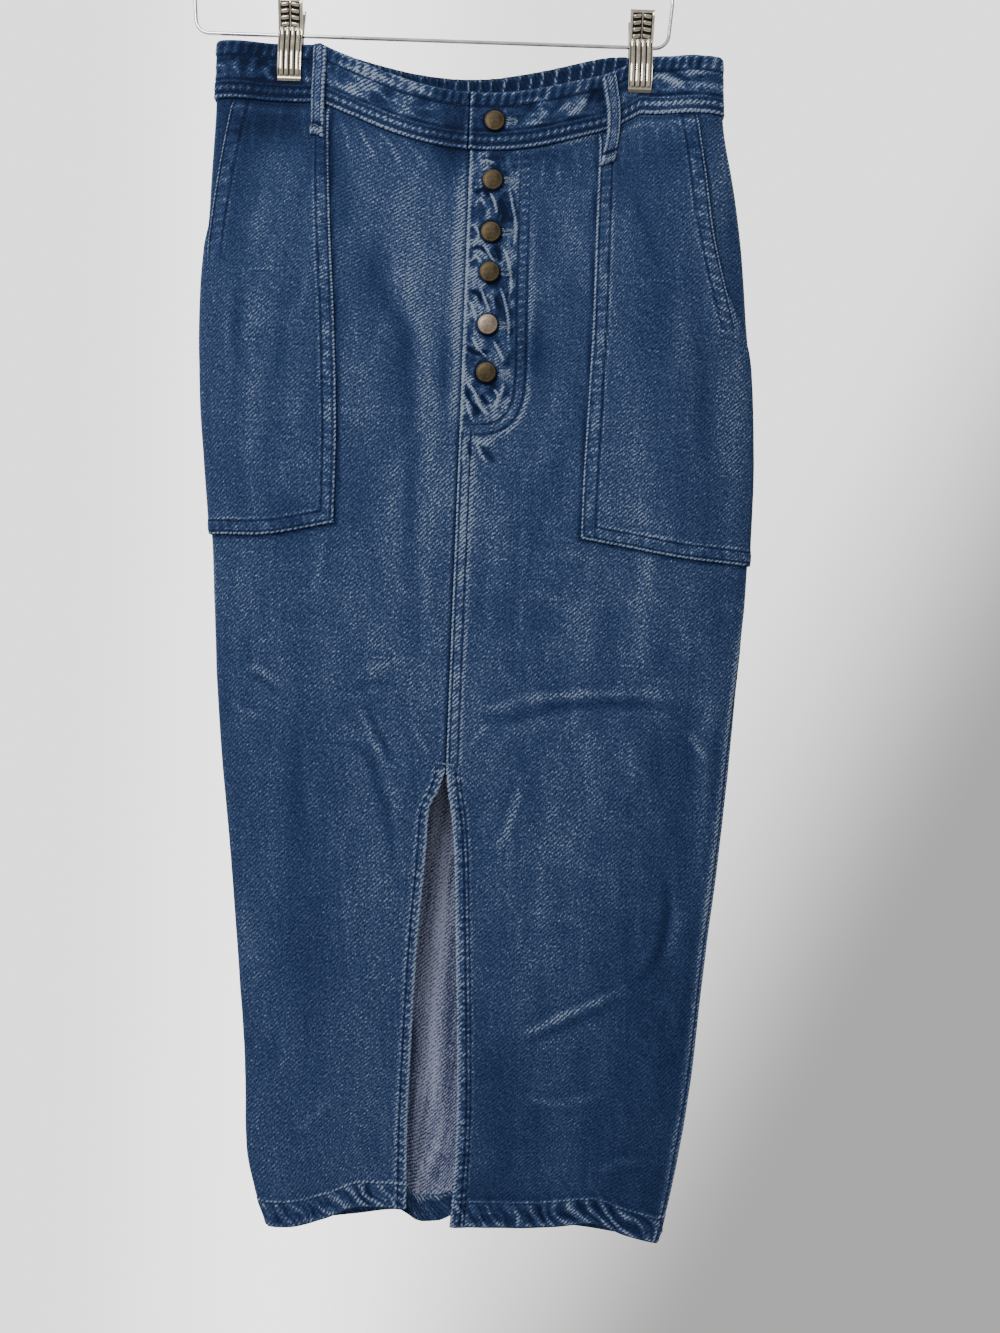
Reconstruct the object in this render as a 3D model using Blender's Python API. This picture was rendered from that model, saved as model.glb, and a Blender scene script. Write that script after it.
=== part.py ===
"""A denim skirt hung from a wire clip hanger.

Metres, +Z up. +X is the viewer's right, and the front of the skirt faces -Y.
The origin is the inside crown of the hanger's hook.

The skirt is one flattened tube. A place on it is given by an angle round the tube
(0 at the centre front, +-90 degrees at the sides) and by its run, the distance in
millimetres down the cloth from the top of the waistband at the sides. Every piece
of cloth is a patch of that tube, moved out or in along the tube's normals.
"""

import math
from collections import namedtuple

import bmesh
import bpy
import numpy as np

MM = 0.001

# Placing, in metres.
BAR_Z = -0.160
WAIST_Z = BAR_Z - 0.0078
CENTRE_X = 0.0314

# Cloth, in millimetres.
SEAM_GAP = 0.3
WAIST_GAP = 0.5
DENIM = 1.7
TURNED = 3.3
BAND_OUT = 0.7
BAND_IN = -1.8
BAND_HEIGHT = 45
HEM_RUN = 915.0
HEM_HEIGHT = 21.0
STEP = 1.0
SLIT_BAND = 10.0
LENS_POWER = 2.6
SIDE_ROUND = 3.2

# The tube's sections: half outlines from the centre-front line, and how far the
# front and the back stand away from the side seams, in millimetres.
Section = namedtuple("Section", "drop left right front back")
SECTIONS = (
    Section(0, -198, 195, 17, 8),
    Section(45, -198, 197, 19, 10),
    Section(110, -200, 209, 22, 13),
    Section(190, -203, 220, 24, 15),
    Section(270, -201, 227, 25, 16),
    Section(330, -196, 229.5, 25, 16),
    Section(400, -188, 228, 24, 16),
    Section(500, -181, 221.5, 23, 15),
    Section(600, -170.5, 215, 21, 14),
    Section(700, -160, 205, 19, 13),
    Section(790, -151, 197.5, 17, 12),
    Section(860, -146.5, 188, 16, 12),
    Section(890, -139.5, 183, 15.5, 11.5),
    Section(925, -126, 175, 15, 11),
)

# Where the side seams run, in degrees round the tube.
SideSeam = namedtuple("SideSeam", "run left right")
SIDE_SEAMS = (
    SideSeam(0, -90, 90),
    SideSeam(400, -90, 90),
    SideSeam(490, -92, 84),
    SideSeam(580, -94, 81),
    SideSeam(925, -95, 81),
)

# The waist edge sags between the clips, less at the elastic back.
Sag = namedtuple("Sag", "centre half_span depth power")
FRONT_SAG = Sag(8, 124, 40.5, 1.0)
BACK_SAG = Sag(-8, 121, 17.5, 2.0)
SAG_FADE_START = BAND_HEIGHT
SAG_FADE_END = 330

# Where the hem's lower edge hangs.
Hem = namedtuple("Hem", "x drop")
FRONT_HEM = (
    Hem(-130, 919),
    Hem(-112, 917),
    Hem(-80, 907.5),
    Hem(-50, 896.5),
    Hem(-15, 896),
    Hem(14, 909),
    Hem(62, 909),
    Hem(92, 907),
    Hem(120, 904),
    Hem(150, 914),
    Hem(176, 922),
)
BACK_HEM = (Hem(-130, 919), Hem(-60, 914), Hem(30, 916), Hem(110, 915), Hem(176, 922))
HEM_SHIFT_START = 760

# The clips, from the centre-front line, in millimetres.
CLIP_XS = {"left": -141.2, "right": 131.4}
CLIP_WIDTH = 19
PINCH_HALF = 2.2
PINCH_SPREAD = 32
PINCH_TOP = 34
PINCH_FADE = 62

# Lines down the cloth that every front piece has its columns on, from the side
# towards the centre, by their distance from the centre-front line at the waist.
LINES = {
    "left": (-174, -160, -150.7, -141.2, -131.7, -121.8, -116, -110.2, -98),
    "right": (173, 161, 150, 140.9, 131.4, 121.9, 112, 106, 100, 84),
}
MIDDLE_STEPS = 4
BACK_STEPS = 19
POCKET_LINES = 7
SIDE_STEPS = np.radians([0, 6, 13, 21])

# The runs of the panels' rows. Front and back share those below the pockets.
UPPER_RUNS = (56, 70, 90, 115, 145, 180, 215, 240, 262, 288, 310, 355)
UPPER_BACK_RUNS = (70, 115, 180, 262, 355)
LOWER_RUNS = (400, 500, 556, 572, 590, 620, 665, 710, 760, 855)

# The centre front: a fly edge, a seam, and a slit that opens to the hem.
CentreFront = namedtuple("CentreFront", "drop left right")
CENTRE_FRONT = (
    CentreFront(0, 1.6, 1.9),
    CentreFront(300, 1.0, 1.3),
    CentreFront(500, -0.4, 0.0),
    CentreFront(556, -0.7, -0.2),
    CentreFront(572, -4.5, 1.2),
    CentreFront(590, -12.0, 4.4),
    CentreFront(620, -13.2, 7.6),
    CentreFront(690, -17.4, 11.2),
    CentreFront(770, -19.8, 14.8),
    CentreFront(830, -20.6, 16.4),
    CentreFront(880, -19.8, 15.4),
    CentreFront(925, -19.4, 13.0),
)
FLY_END = 300
TONGUE_END = 36
TONGUE_START = -14
TONGUE_STEP = 12
TONGUE_OUT = -2.1
TONGUE_IN = -4.4
UNDERLAY_LEFT = -28
UNDERLAY_RIGHT = 40
UNDERLAY_END = 284

# Patch pockets: the edge towards the centre, the slanted opening, the lower edge.
PocketEdge = namedtuple("PocketEdge", "drop x")
PocketFoot = namedtuple("PocketFoot", "x drop")
POCKET_GAP = 0.45
POCKET_OUT = 2.15
POCKET_JOIN = 30
POCKET_GAPE_FADE = 90
POCKET_GAPE = (1.6, 1.6, 1.4, 1.0, 0.7, 0.4, 0.2)
POCKETS = {
    "left": {
        "inner": (
            PocketEdge(40, -108),
            PocketEdge(144, -102.4),
            PocketEdge(213, -97),
            PocketEdge(270, -93.6),
            PocketEdge(316, -92),
            PocketEdge(400, -92),
        ),
        "opening": (
            PocketEdge(40, -182),
            PocketEdge(80, -188),
            PocketEdge(120, -193.5),
            PocketEdge(160, -198),
        ),
        "opening_end": 215,
        "foot": (PocketFoot(-190, 383), PocketFoot(-156, 383.5), PocketFoot(-92, 373)),
    },
    "right": {
        "inner": (
            PocketEdge(40, 100),
            PocketEdge(129, 99.8),
            PocketEdge(201, 99.8),
            PocketEdge(273, 98.2),
            PocketEdge(345, 96.2),
            PocketEdge(400, 96),
        ),
        "opening": (
            PocketEdge(40, 175),
            PocketEdge(90, 182.5),
            PocketEdge(135, 189),
            PocketEdge(176, 199),
            PocketEdge(212, 210.5),
        ),
        "opening_end": 262,
        "foot": (
            PocketFoot(96, 379),
            PocketFoot(129, 384),
            PocketFoot(178, 391),
            PocketFoot(228, 394),
        ),
    },
}

# Belt loops: centre line and tilt, and how far each stands off along its run.
Loop = namedtuple("Loop", "side x lean bow top foot")
LOOPS = (Loop("left", -116, 1.0, 0.0, 1.0, 74.0), Loop("right", 106, 0.0, 4.5, 9.0, 79.0))
LOOP_WIDTH = 11.5
LoopStation = namedtuple("LoopStation", "along inner outer")
LOOP_STATIONS = (
    LoopStation(0.00, 1.2, 4.4),
    LoopStation(0.12, 1.2, 4.4),
    LoopStation(0.20, 2.0, 4.4),
    LoopStation(0.38, 3.2, 5.4),
    LoopStation(0.60, 3.4, 5.6),
    LoopStation(0.78, 2.8, 5.0),
    LoopStation(0.86, 2.5, 5.2),
    LoopStation(1.00, 2.5, 6.4),
)

# Buttons, turned about their own axis: (radius, height) in millimetres.
BUTTON_X = 20.0
BUTTON_DROPS = (63.5, 109.0, 149.0, 179.5, 219.5, 256.0)
BUTTON_PROFILE = ((0, 0), (3.0, 0), (3.0, 1.3), (8.1, 1.3), (8.5, 2.3), (7.5, 3.1), (0, 3.4))
BUTTON_SIDES = 16

# The gathers of the elastic waistband.
GATHERS = 30
GATHER_DEPTH = 2.2
GATHER_STEPS = 4
BACK_FOLDS = 6
BACK_FOLD_DEPTH = 2.4
BACK_FOLD_START = 30
BACK_FOLD_FULL = 80
BACK_FOLD_END = 330

# Hanger, in metres.
WIRE_RADIUS = 0.0014
BAR_HALF = 0.1836
BAR_CORNER = 0.011
SIDE_TOP_Z = -0.112
SIDE_LEAN = 0.004
SHOULDER_CORNER = 0.016
APEX_Z = -0.074
APEX_HALF = 0.008
HOOK_RADIUS = 0.022
HOOK_TIP_DEGREES = -28
HOOK_BACK_DEGREES = 235
HOOK_NECK = 0.016
APEX_CORNER = 0.010
FERRULE = ((0, 0), (3.6, 0), (4.2, 0.8), (4.2, 2.6), (2.2, 5.0), (0, 5.2))

# The clip's jaw, seen from the side: height from the bar, and the front face's
# distance from the middle plane and the depth of its side flanges, in millimetres.
Jaw = namedtuple("Jaw", "height out flange")
JAW = (
    Jaw(24.6, 10.2, 1.4),
    Jaw(23.0, 10.4, 2.4),
    Jaw(14.0, 8.2, 3.2),
    Jaw(6.0, 5.6, 3.0),
    Jaw(0.0, 4.5, 2.6),
    Jaw(-7.0, 5.3, 2.1),
    Jaw(-17.0, 6.4, 2.6),
    Jaw(-28.0, 5.8, 2.2),
    Jaw(-34.0, 4.4, 1.15),
    Jaw(-36.9, 4.7, 1.2),
)
JAW_SHEET = 0.9
JAW_CORNER = 0.9
JAW_INNER_CORNER = 1.5
JAW_BEVEL = 0.15
SPRING_INNER = 1.75
SPRING_OUTER = 3.3
SPRING_HALF = 6.5

COLOURS = {
    "denim": ((0.085, 0.155, 0.270, 1), 0.85, 0.0),
    "brass": ((0.230, 0.150, 0.075, 1), 0.40, 1.0),
    "chrome": ((0.780, 0.780, 0.790, 1), 0.12, 1.0),
    "nickel": ((0.700, 0.670, 0.610, 1), 0.22, 1.0),
}


def clear_scene():
    for obj in list(bpy.data.objects):
        bpy.data.objects.remove(obj, do_unlink=True)


def material(finish, name):
    colour, roughness, metallic = COLOURS[finish]
    made = bpy.data.materials.new(name)
    made.use_nodes = True
    shader = made.node_tree.nodes["Principled BSDF"]
    shader.inputs["Base Color"].default_value = colour
    shader.inputs["Roughness"].default_value = roughness
    shader.inputs["Metallic"].default_value = metallic
    return made


def add_mesh(name, points, faces, finish, parent=None, smooth=True):
    """One closed mesh object, its faces turned outwards."""
    mesh = bpy.data.meshes.new(name)
    mesh.from_pydata([tuple(map(float, p)) for p in points], [], faces)
    work = bmesh.new()
    work.from_mesh(mesh)
    bmesh.ops.recalc_face_normals(work, faces=work.faces)
    work.to_mesh(mesh)
    work.free()
    if smooth:
        mesh.shade_smooth()
        mesh.set_sharp_from_angle(angle=math.radians(40))
    obj = bpy.data.objects.new(name, mesh)
    obj.parent = parent
    bpy.context.scene.collection.objects.link(obj)
    mesh.materials.append(material(finish, name))
    return obj


def slopes(xs, ys):
    """Slopes at the rows that keep the curve from overshooting between them."""
    width = np.diff(xs)
    rise = np.diff(ys) / width
    found = np.concatenate([rise[:1], np.zeros(len(rise) - 1), rise[-1:]])
    before = width[:-1] + 2 * width[1:]
    after = 2 * width[:-1] + width[1:]
    turning = rise[:-1] * rise[1:] <= 0
    safe = np.where(turning, 1.0, rise[:-1]), np.where(turning, 1.0, rise[1:])
    mean = (before + after) / (before / safe[0] + after / safe[1])
    found[1:-1] = np.where(turning, 0.0, mean)
    return found


def eased(at, xs, ys):
    """A smooth curve through the rows of a table, held level past its ends."""
    xs = np.asarray(xs, float)
    ys = np.asarray(ys, float)
    slope = slopes(xs, ys)
    at = np.asarray(at, float)
    i = np.clip(np.searchsorted(xs, at) - 1, 0, len(xs) - 2)
    width = xs[i + 1] - xs[i]
    t = np.clip((at - xs[i]) / width, 0, 1)
    t2 = t * t
    t3 = t2 * t
    start = (2 * t3 - 3 * t2 + 1) * ys[i] + (t3 - 2 * t2 + t) * width * slope[i]
    end = (3 * t2 - 2 * t3) * ys[i + 1] + (t3 - t2) * width * slope[i + 1]
    return start + end


def column(table, name):
    return [getattr(row, name) for row in table]


def read(table, at, of, value):
    return eased(at, column(table, of), column(table, value))


def ramp(at, start, end):
    t = np.clip((np.asarray(at, float) - start) / (end - start), 0, 1)
    return t * t * (3 - 2 * t)


def sag(x, shape):
    t = np.clip(1 - ((x - shape.centre) / shape.half_span) ** 2, 0, 1)
    return shape.depth * t**shape.power


def outline(drop):
    """The tube's middle and half width at a drop."""
    left = read(SECTIONS, drop, "drop", "left")
    right = read(SECTIONS, drop, "drop", "right")
    return (left + right) / 2, (right - left) / 2


def place(angle, run):
    """(x, drop) of a point of the tube, in millimetres from the centre-front line."""
    middle, half = outline(run)
    x = middle + half * np.sin(angle)
    front = np.cos(angle) >= 0
    fall = np.where(front, sag(x, FRONT_SAG), sag(x, BACK_SAG))
    hem = np.where(
        front,
        read(FRONT_HEM, x, "x", "drop"),
        read(BACK_HEM, x, "x", "drop"),
    )
    drop = run + fall * (1 - ramp(run, SAG_FADE_START, SAG_FADE_END))
    drop = drop + (hem - HEM_RUN) * ramp(run, HEM_SHIFT_START, HEM_RUN)
    middle, half = outline(drop)
    return middle + half * np.sin(angle), drop


def pinch(x, drop):
    """1 where a clip presses the front and the back together, fading out round it."""
    most = 0.0
    for clip_x in CLIP_XS.values():
        aside = np.maximum(np.abs(x - clip_x) - CLIP_WIDTH / 2, 0) / PINCH_SPREAD
        below = np.maximum(drop - PINCH_TOP, 0) / PINCH_FADE
        most = np.maximum(most, np.exp(-(aside**2) - below**2))
    return most


def bare(angle, run):
    """(x, y, drop) on the tube itself, in millimetres."""
    x, drop = place(angle, run)
    _, half = outline(drop)
    front = np.cos(angle) >= 0
    bulge = np.where(
        front,
        read(SECTIONS, drop, "drop", "front"),
        read(SECTIONS, drop, "drop", "back"),
    )
    across = np.abs(np.sin(angle))
    inset = np.minimum(half * (1 - across), SIDE_ROUND)
    lens = bulge**2 * (1 - across**LENS_POWER) + 2 * SIDE_ROUND * inset - inset**2
    deep = np.sqrt(np.maximum(lens, 0))
    pinched = pinch(x, drop)
    deep = deep - np.maximum(deep - PINCH_HALF, 0) * pinched
    fold = (0.5 - 0.5 * np.cos(2 * BACK_FOLDS * angle)) * (1 - pinched)
    fold = fold * ramp(run, BACK_FOLD_START, BACK_FOLD_FULL)
    fold = fold * (1 - ramp(run, BAND_HEIGHT, BACK_FOLD_END))
    deep = deep + np.where(front, 0, BACK_FOLD_DEPTH * fold)
    return x, np.where(front, -deep, deep), drop


def normal(angle, run):
    """The tube's outward normal, level."""
    small = 1e-3
    x0, y0, _ = bare(angle - small, run)
    x1, y1, _ = bare(angle + small, run)
    along = np.hypot(x1 - x0, y1 - y0)
    return (y1 - y0) / along, -(x1 - x0) / along


def on_skirt(angle, run, out=0.0):
    """Points in metres, moved out from the tube by out millimetres."""
    angle = np.asarray(angle, float)
    run = np.asarray(run, float)
    x, y, drop = bare(angle, run)
    nx, ny = normal(angle, run)
    points = (
        CENTRE_X + MM * (x + nx * out),
        MM * (y + ny * out),
        WAIST_Z - MM * drop,
    )
    return np.stack(np.broadcast_arrays(*points), axis=-1)


def angle_at(x, run):
    """The front's angle at a distance x from the centre-front line.

    x is a number or a function of the drop."""
    run = np.asarray(run, float)
    angle = np.zeros_like(run)
    for _ in range(6):
        _, drop = place(angle, run)
        middle, half = outline(drop)
        wanted = x(drop) if callable(x) else x
        angle = np.arcsin(np.clip((wanted - middle) / half, -1, 1))
    return angle


def run_at(x, drop):
    """The front's run at a place given by x and drop."""
    low = 0.0
    high = HEM_RUN
    for _ in range(40):
        run = (low + high) / 2
        if place(angle_at(x, run), run)[1] < drop:
            low = run
        else:
            high = run
    return (low + high) / 2


def seam(side, run, towards):
    """The side seam's angle, half a gap towards the front (+1) or the back (-1)."""
    edge = np.radians(read(SIDE_SEAMS, run, "run", side))
    small = 1e-3
    x0, y0, _ = bare(edge - small, run)
    x1, y1, _ = bare(edge + small, run)
    speed = np.hypot(x1 - x0, y1 - y0) / (2 * small)
    inwards = -1 if side == "right" else 1
    return edge + towards * inwards * SEAM_GAP / 2 / speed


def cloth(name, angle, run, outer, inner, parent):
    """A closed wall over a grid of angles and runs, between two offsets."""
    outside = on_skirt(angle, run, outer)
    inside = on_skirt(angle, run, inner)
    rows, cols = outside.shape[:2]
    count = rows * cols
    points = np.concatenate([outside.reshape(-1, 3), inside.reshape(-1, 3)])
    grid = np.arange(count).reshape(rows, cols)
    faces = []
    for i in range(rows - 1):
        for j in range(cols - 1):
            quad = (grid[i, j], grid[i + 1, j], grid[i + 1, j + 1], grid[i, j + 1])
            faces.append(tuple(int(k) for k in quad))
            faces.append(tuple(int(k) + count for k in reversed(quad)))
    rim = [*grid[0], *grid[1:, -1], *grid[-1, -2::-1], *grid[-2:0:-1, 0]]
    for a, b in zip(rim, rim[1:] + rim[:1]):
        faces.append((int(a), int(b), int(b) + count, int(a) + count))
    return add_mesh(name, points, faces, "denim", parent)


def lines(side, rows):
    """The angles of a front's column lines, the same in every row."""
    middle, half = outline(0)
    angles = np.arcsin((np.array(LINES[side]) - middle) / half)
    return np.repeat(angles[None, :], rows, axis=0)


def spread(first, last, steps):
    """Evenly spaced columns after first, up to last."""
    t = np.linspace(0, 1, steps + 1)[1:]
    return first[:, None] + (last - first)[:, None] * t


def from_side(side, run, towards):
    """The four columns next to a side seam, going away from it."""
    edge = seam(side, run, towards)
    inwards = -1 if side == "right" else 1
    return edge[:, None] + towards * inwards * SIDE_STEPS


def panel_runs(middle):
    fold = HEM_RUN - HEM_HEIGHT
    start = BAND_HEIGHT + WAIST_GAP
    return np.concatenate([[start], middle, [fold - STEP, fold, HEM_RUN]])


def front_panel(side, parent):
    """One front, from its side seam to the fly edge, the centre seam and the slit.
    Its slit edge and hem are turned in."""
    run = panel_runs(UPPER_RUNS + LOWER_RUNS)
    inwards = 1 if side == "left" else -1
    sides = from_side(side, run, 1)

    def edge(drop):
        return read(CENTRE_FRONT, drop, "drop", side)

    turned = [
        angle_at(lambda drop, back=back: edge(drop) - inwards * back, run)
        for back in (SLIT_BAND + STEP, SLIT_BAND, 0)
    ]
    across = lines(side, len(run))
    middle = spread(across[:, -1], turned[0], MIDDLE_STEPS)[:, :-1]
    angle = np.concatenate([sides, across, middle, np.stack(turned, 1)], axis=1)
    run = np.repeat(run[:, None], angle.shape[1], axis=1)
    inner = np.full(angle.shape, -DENIM)
    inner[:, -2:] = np.where(run[:, -2:] > FLY_END, -TURNED, -DENIM)
    inner[-2:, :] = -TURNED
    cloth(f"front_{side}_panel", angle, run, 0.0, inner, parent)


def back_panel(parent):
    run = panel_runs(UPPER_BACK_RUNS + LOWER_RUNS)
    left = from_side("left", run, -1)
    right = from_side("right", run, -1)[:, ::-1] - 2 * math.pi
    middle = spread(left[:, -1], right[:, 0], BACK_STEPS)[:, :-1]
    angle = np.concatenate([left, middle, right], axis=1)
    run = np.repeat(run[:, None], angle.shape[1], axis=1)
    inner = np.full(angle.shape, -DENIM)
    inner[-2:, :] = -TURNED
    cloth("back_panel", angle, run, 0.0, inner, parent)


def front_band(side, parent):
    """A front half of the waistband. The left one goes on under the right one."""
    run = np.array([0, BAND_HEIGHT / 3, 2 * BAND_HEIGHT / 3, BAND_HEIGHT])
    sides = from_side(side, run, 1)
    if side == "left":
        ends = (TONGUE_START, TONGUE_START + TONGUE_STEP, TONGUE_END / 2, TONGUE_END)
        tucked = 3
    else:
        ends = (float(read(CENTRE_FRONT, 0, "drop", "right")),)
        tucked = 0
    ends = [angle_at(x, run) for x in ends]
    across = lines(side, len(run))
    middle = spread(across[:, -1], ends[0], MIDDLE_STEPS)[:, :-1]
    angle = np.concatenate([sides, across, middle, np.stack(ends, 1)], axis=1)
    outer = np.full(angle.shape, BAND_OUT)
    inner = np.full(angle.shape, BAND_IN)
    if tucked:
        outer[:, -tucked:] = TONGUE_OUT
        inner[:, -tucked:] = TONGUE_IN
    run = np.repeat(run[:, None], angle.shape[1], axis=1)
    cloth(f"waistband_front_{side}", angle, run, outer, inner, parent)


def back_band(parent):
    """The elastic half of the waistband, standing in upright gathers."""
    run = np.array([0, BAND_HEIGHT / 2, BAND_HEIGHT])
    left = from_side("left", run, -1)
    right = from_side("right", run, -1)[:, ::-1] - 2 * math.pi
    steps = GATHERS * GATHER_STEPS
    from_left = np.sin(left[:, -1:])
    across = from_left + (np.sin(right[:, :1]) - from_left) * np.linspace(0, 1, steps + 1)
    gathered = -math.pi - np.arcsin(across)
    angle = np.concatenate([left[:, :-1], gathered, right[:, 1:]], axis=1)
    run = np.repeat(run[:, None], angle.shape[1], axis=1)
    wave = 0.5 - 0.5 * np.cos(2 * math.pi * np.arange(steps + 1) / GATHER_STEPS)
    wave = np.concatenate([np.zeros(3), wave, np.zeros(3)])
    x, drop = place(angle, run)
    stand = GATHER_DEPTH * wave * (1 - pinch(x, drop))
    cloth("waistband_back", angle, run, BAND_OUT + stand, BAND_IN + stand, parent)


def pocket(side, parent):
    """A patch pocket, caught in the waist seam and, below its opening, the side seam."""
    shape = POCKETS[side]
    run = np.concatenate([[BAND_HEIGHT + WAIST_GAP], UPPER_RUNS])

    def inner_edge(drop):
        return read(shape["inner"], drop, "drop", "x")

    def opening(drop):
        return read(shape["opening"], drop, "drop", "x")

    sides = from_side(side, run, 1)
    across = lines(side, len(run))[:, :POCKET_LINES]
    slant = angle_at(opening, run)
    last = shape["opening"][-1].drop
    joined = ramp(run, last - POCKET_JOIN, shape["opening_end"])
    outer = slant + (sides[:, 0] - slant) * joined
    share = (sides - sides[:, :1]) / (across[:, :1] - sides[:, :1])
    sides = outer[:, None] + (across[:, :1] - outer[:, None]) * share
    angle = np.concatenate([sides, across, angle_at(inner_edge, run)[:, None]], axis=1)
    run = np.repeat(run[:, None], angle.shape[1], axis=1)
    x, _ = place(angle[-1], run[-1])
    foot = read(shape["foot"], x, "x", "drop")
    angle = np.concatenate([angle, angle[-1:]])
    run = np.concatenate([run, foot[None, :]])
    gape = np.zeros(angle.shape)
    closing = ramp(run[:-1, 0], last, shape["opening_end"] + POCKET_GAPE_FADE)
    gape[:-1, : len(POCKET_GAPE)] = np.outer(1 - closing, POCKET_GAPE)
    cloth(f"pocket_{side}", angle, run, POCKET_OUT + gape, POCKET_GAP + gape, parent)


def fly_underlay(parent):
    """The strip behind the fly that carries its buttons."""
    start = BAND_HEIGHT + WAIST_GAP
    above = [row for row in UPPER_RUNS if row < UNDERLAY_END]
    run = np.concatenate([[start], above, [UNDERLAY_END]])
    left = angle_at(UNDERLAY_LEFT, run)
    right = angle_at(UNDERLAY_RIGHT, run)
    angle = np.concatenate([left[:, None], spread(left, right, 3)], axis=1)
    run = np.repeat(run[:, None], angle.shape[1], axis=1)
    out = -DENIM - SEAM_GAP
    cloth("fly_underlay", angle, run, out, out - DENIM, parent)


def belt_loop(loop, parent):
    """A strip sewn down at both ends, standing off the band between them."""
    along = np.array(column(LOOP_STATIONS, "along"))
    run = loop.top + (loop.foot - loop.top) * along
    middle = loop.x + loop.lean * (along - 0.5) + loop.bow * np.sin(math.pi * along)
    columns = [
        angle_at(middle + offset * LOOP_WIDTH, run) for offset in (-0.5, -0.2, 0.2, 0.5)
    ]
    angle = np.stack(columns, axis=1)
    shape = angle.shape
    run = np.broadcast_to(run[:, None], shape)
    inner = np.broadcast_to(np.array(column(LOOP_STATIONS, "inner"))[:, None], shape)
    outer = np.broadcast_to(np.array(column(LOOP_STATIONS, "outer"))[:, None], shape)
    cloth(f"belt_loop_{loop.side}", angle, run, outer, inner, parent)


def turned(name, profile, sides, finish, parent):
    """A solid turned about Z from (radius, height) pairs that start and end on it."""
    points = [(0, 0, profile[0][1] * MM)]
    faces = []
    rings = profile[1:-1]
    for radius, height in rings:
        for k in range(sides):
            a = 2 * math.pi * k / sides
            points.append((radius * MM * math.cos(a), radius * MM * math.sin(a), height * MM))
    points.append((0, 0, profile[-1][1] * MM))
    last = len(points) - 1
    for k in range(sides):
        n = (k + 1) % sides
        faces.append((0, 1 + n, 1 + k))
        for r in range(len(rings) - 1):
            low = 1 + r * sides
            faces.append((low + k, low + n, low + sides + n, low + sides + k))
        top = 1 + (len(rings) - 1) * sides
        faces.append((top + k, top + n, last))
    return add_mesh(name, points, faces, finish, parent)


def buttons(parent):
    for number, drop in enumerate(BUTTON_DROPS, 1):
        run = run_at(BUTTON_X, drop)
        angle = angle_at(BUTTON_X, run)
        cover = BAND_OUT if number == 1 else 0.0
        centre = on_skirt(angle, run, cover + SEAM_GAP)
        nx, ny = normal(angle, run)
        button = turned(f"button_{number}", BUTTON_PROFILE, BUTTON_SIDES, "brass", parent)
        button.location = tuple(map(float, centre))
        turn = math.atan2(float(nx), -float(ny))
        button.rotation_euler = (math.pi / 2, 0, turn)


def arc(centre, radius, start, end, steps):
    """Points of an arc in the XZ plane, angles in degrees from +X."""
    return [
        (
            centre[0] + radius * math.cos(math.radians(a)),
            centre[1] + radius * math.sin(math.radians(a)),
        )
        for a in np.linspace(start, end, steps)
    ]


def rounded(corners, steps):
    """A closed outline in the XZ plane from (x, z, corner radius) corners."""
    points = []
    for i, (x, z, radius) in enumerate(corners):
        here = np.array([x, z])
        before = np.array(corners[i - 1][:2]) - here
        after = np.array(corners[(i + 1) % len(corners)][:2]) - here
        before /= np.linalg.norm(before)
        after /= np.linalg.norm(after)
        half = math.acos(float(np.clip(before @ after, -1, 1))) / 2
        reach = radius / math.tan(half)
        middle = before + after
        centre = here + middle / np.linalg.norm(middle) * radius / math.sin(half)
        first = here + before * reach - centre
        last = here + after * reach - centre
        start = math.atan2(first[1], first[0])
        sweep = math.atan2(last[1], last[0]) - start
        sweep = (sweep + math.pi) % (2 * math.pi) - math.pi
        for t in np.linspace(0, 1, steps):
            a = start + sweep * t
            points.append((centre[0] + radius * math.cos(a), centre[1] + radius * math.sin(a)))
    return points


def wire(name, path, closed, parent):
    """A round wire along a path in the XZ plane."""
    curve = bpy.data.curves.new(name, "CURVE")
    curve.dimensions = "3D"
    curve.bevel_depth = WIRE_RADIUS
    curve.bevel_resolution = 2
    curve.use_fill_caps = True
    line = curve.splines.new("POLY")
    line.points.add(len(path) - 1)
    for point, (x, z) in zip(line.points, path):
        point.co = (x, 0, z, 1)
    line.use_cyclic_u = closed
    line.use_smooth = True
    curve.materials.append(material("chrome", name))
    obj = bpy.data.objects.new(name, curve)
    obj.parent = parent
    bpy.context.scene.collection.objects.link(obj)
    return obj


def hanger(parent):
    top = BAR_HALF + SIDE_LEAN
    corners = (
        (BAR_HALF, BAR_Z, BAR_CORNER),
        (top, SIDE_TOP_Z, SHOULDER_CORNER),
        (APEX_HALF, APEX_Z, APEX_CORNER),
        (-APEX_HALF, APEX_Z, APEX_CORNER),
        (-top, SIDE_TOP_Z, SHOULDER_CORNER),
        (-BAR_HALF, BAR_Z, BAR_CORNER),
    )
    wire("hanger_frame", rounded(corners, 6), True, parent)
    crown = -HOOK_RADIUS
    reach = HOOK_RADIUS + WIRE_RADIUS
    hook = arc((0, crown), reach, HOOK_TIP_DEGREES, HOOK_BACK_DEGREES, 22)
    end_x, end_z = hook[-1]
    neck_z = APEX_Z + HOOK_NECK
    for t in np.linspace(0.2, 1, 5):
        ease = t * t * (3 - 2 * t)
        hook.append((end_x * (1 - ease), end_z + (neck_z - end_z) * t))
    foot_z = APEX_Z + WIRE_RADIUS + SEAM_GAP * MM
    hook.append((0, foot_z + (FERRULE[-1][1] + SEAM_GAP) * MM))
    wire("hanger_hook", hook, False, parent)
    ferrule = turned("hanger_ferrule", FERRULE, 16, "chrome", parent)
    ferrule.location = (0, 0, foot_z)


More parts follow.
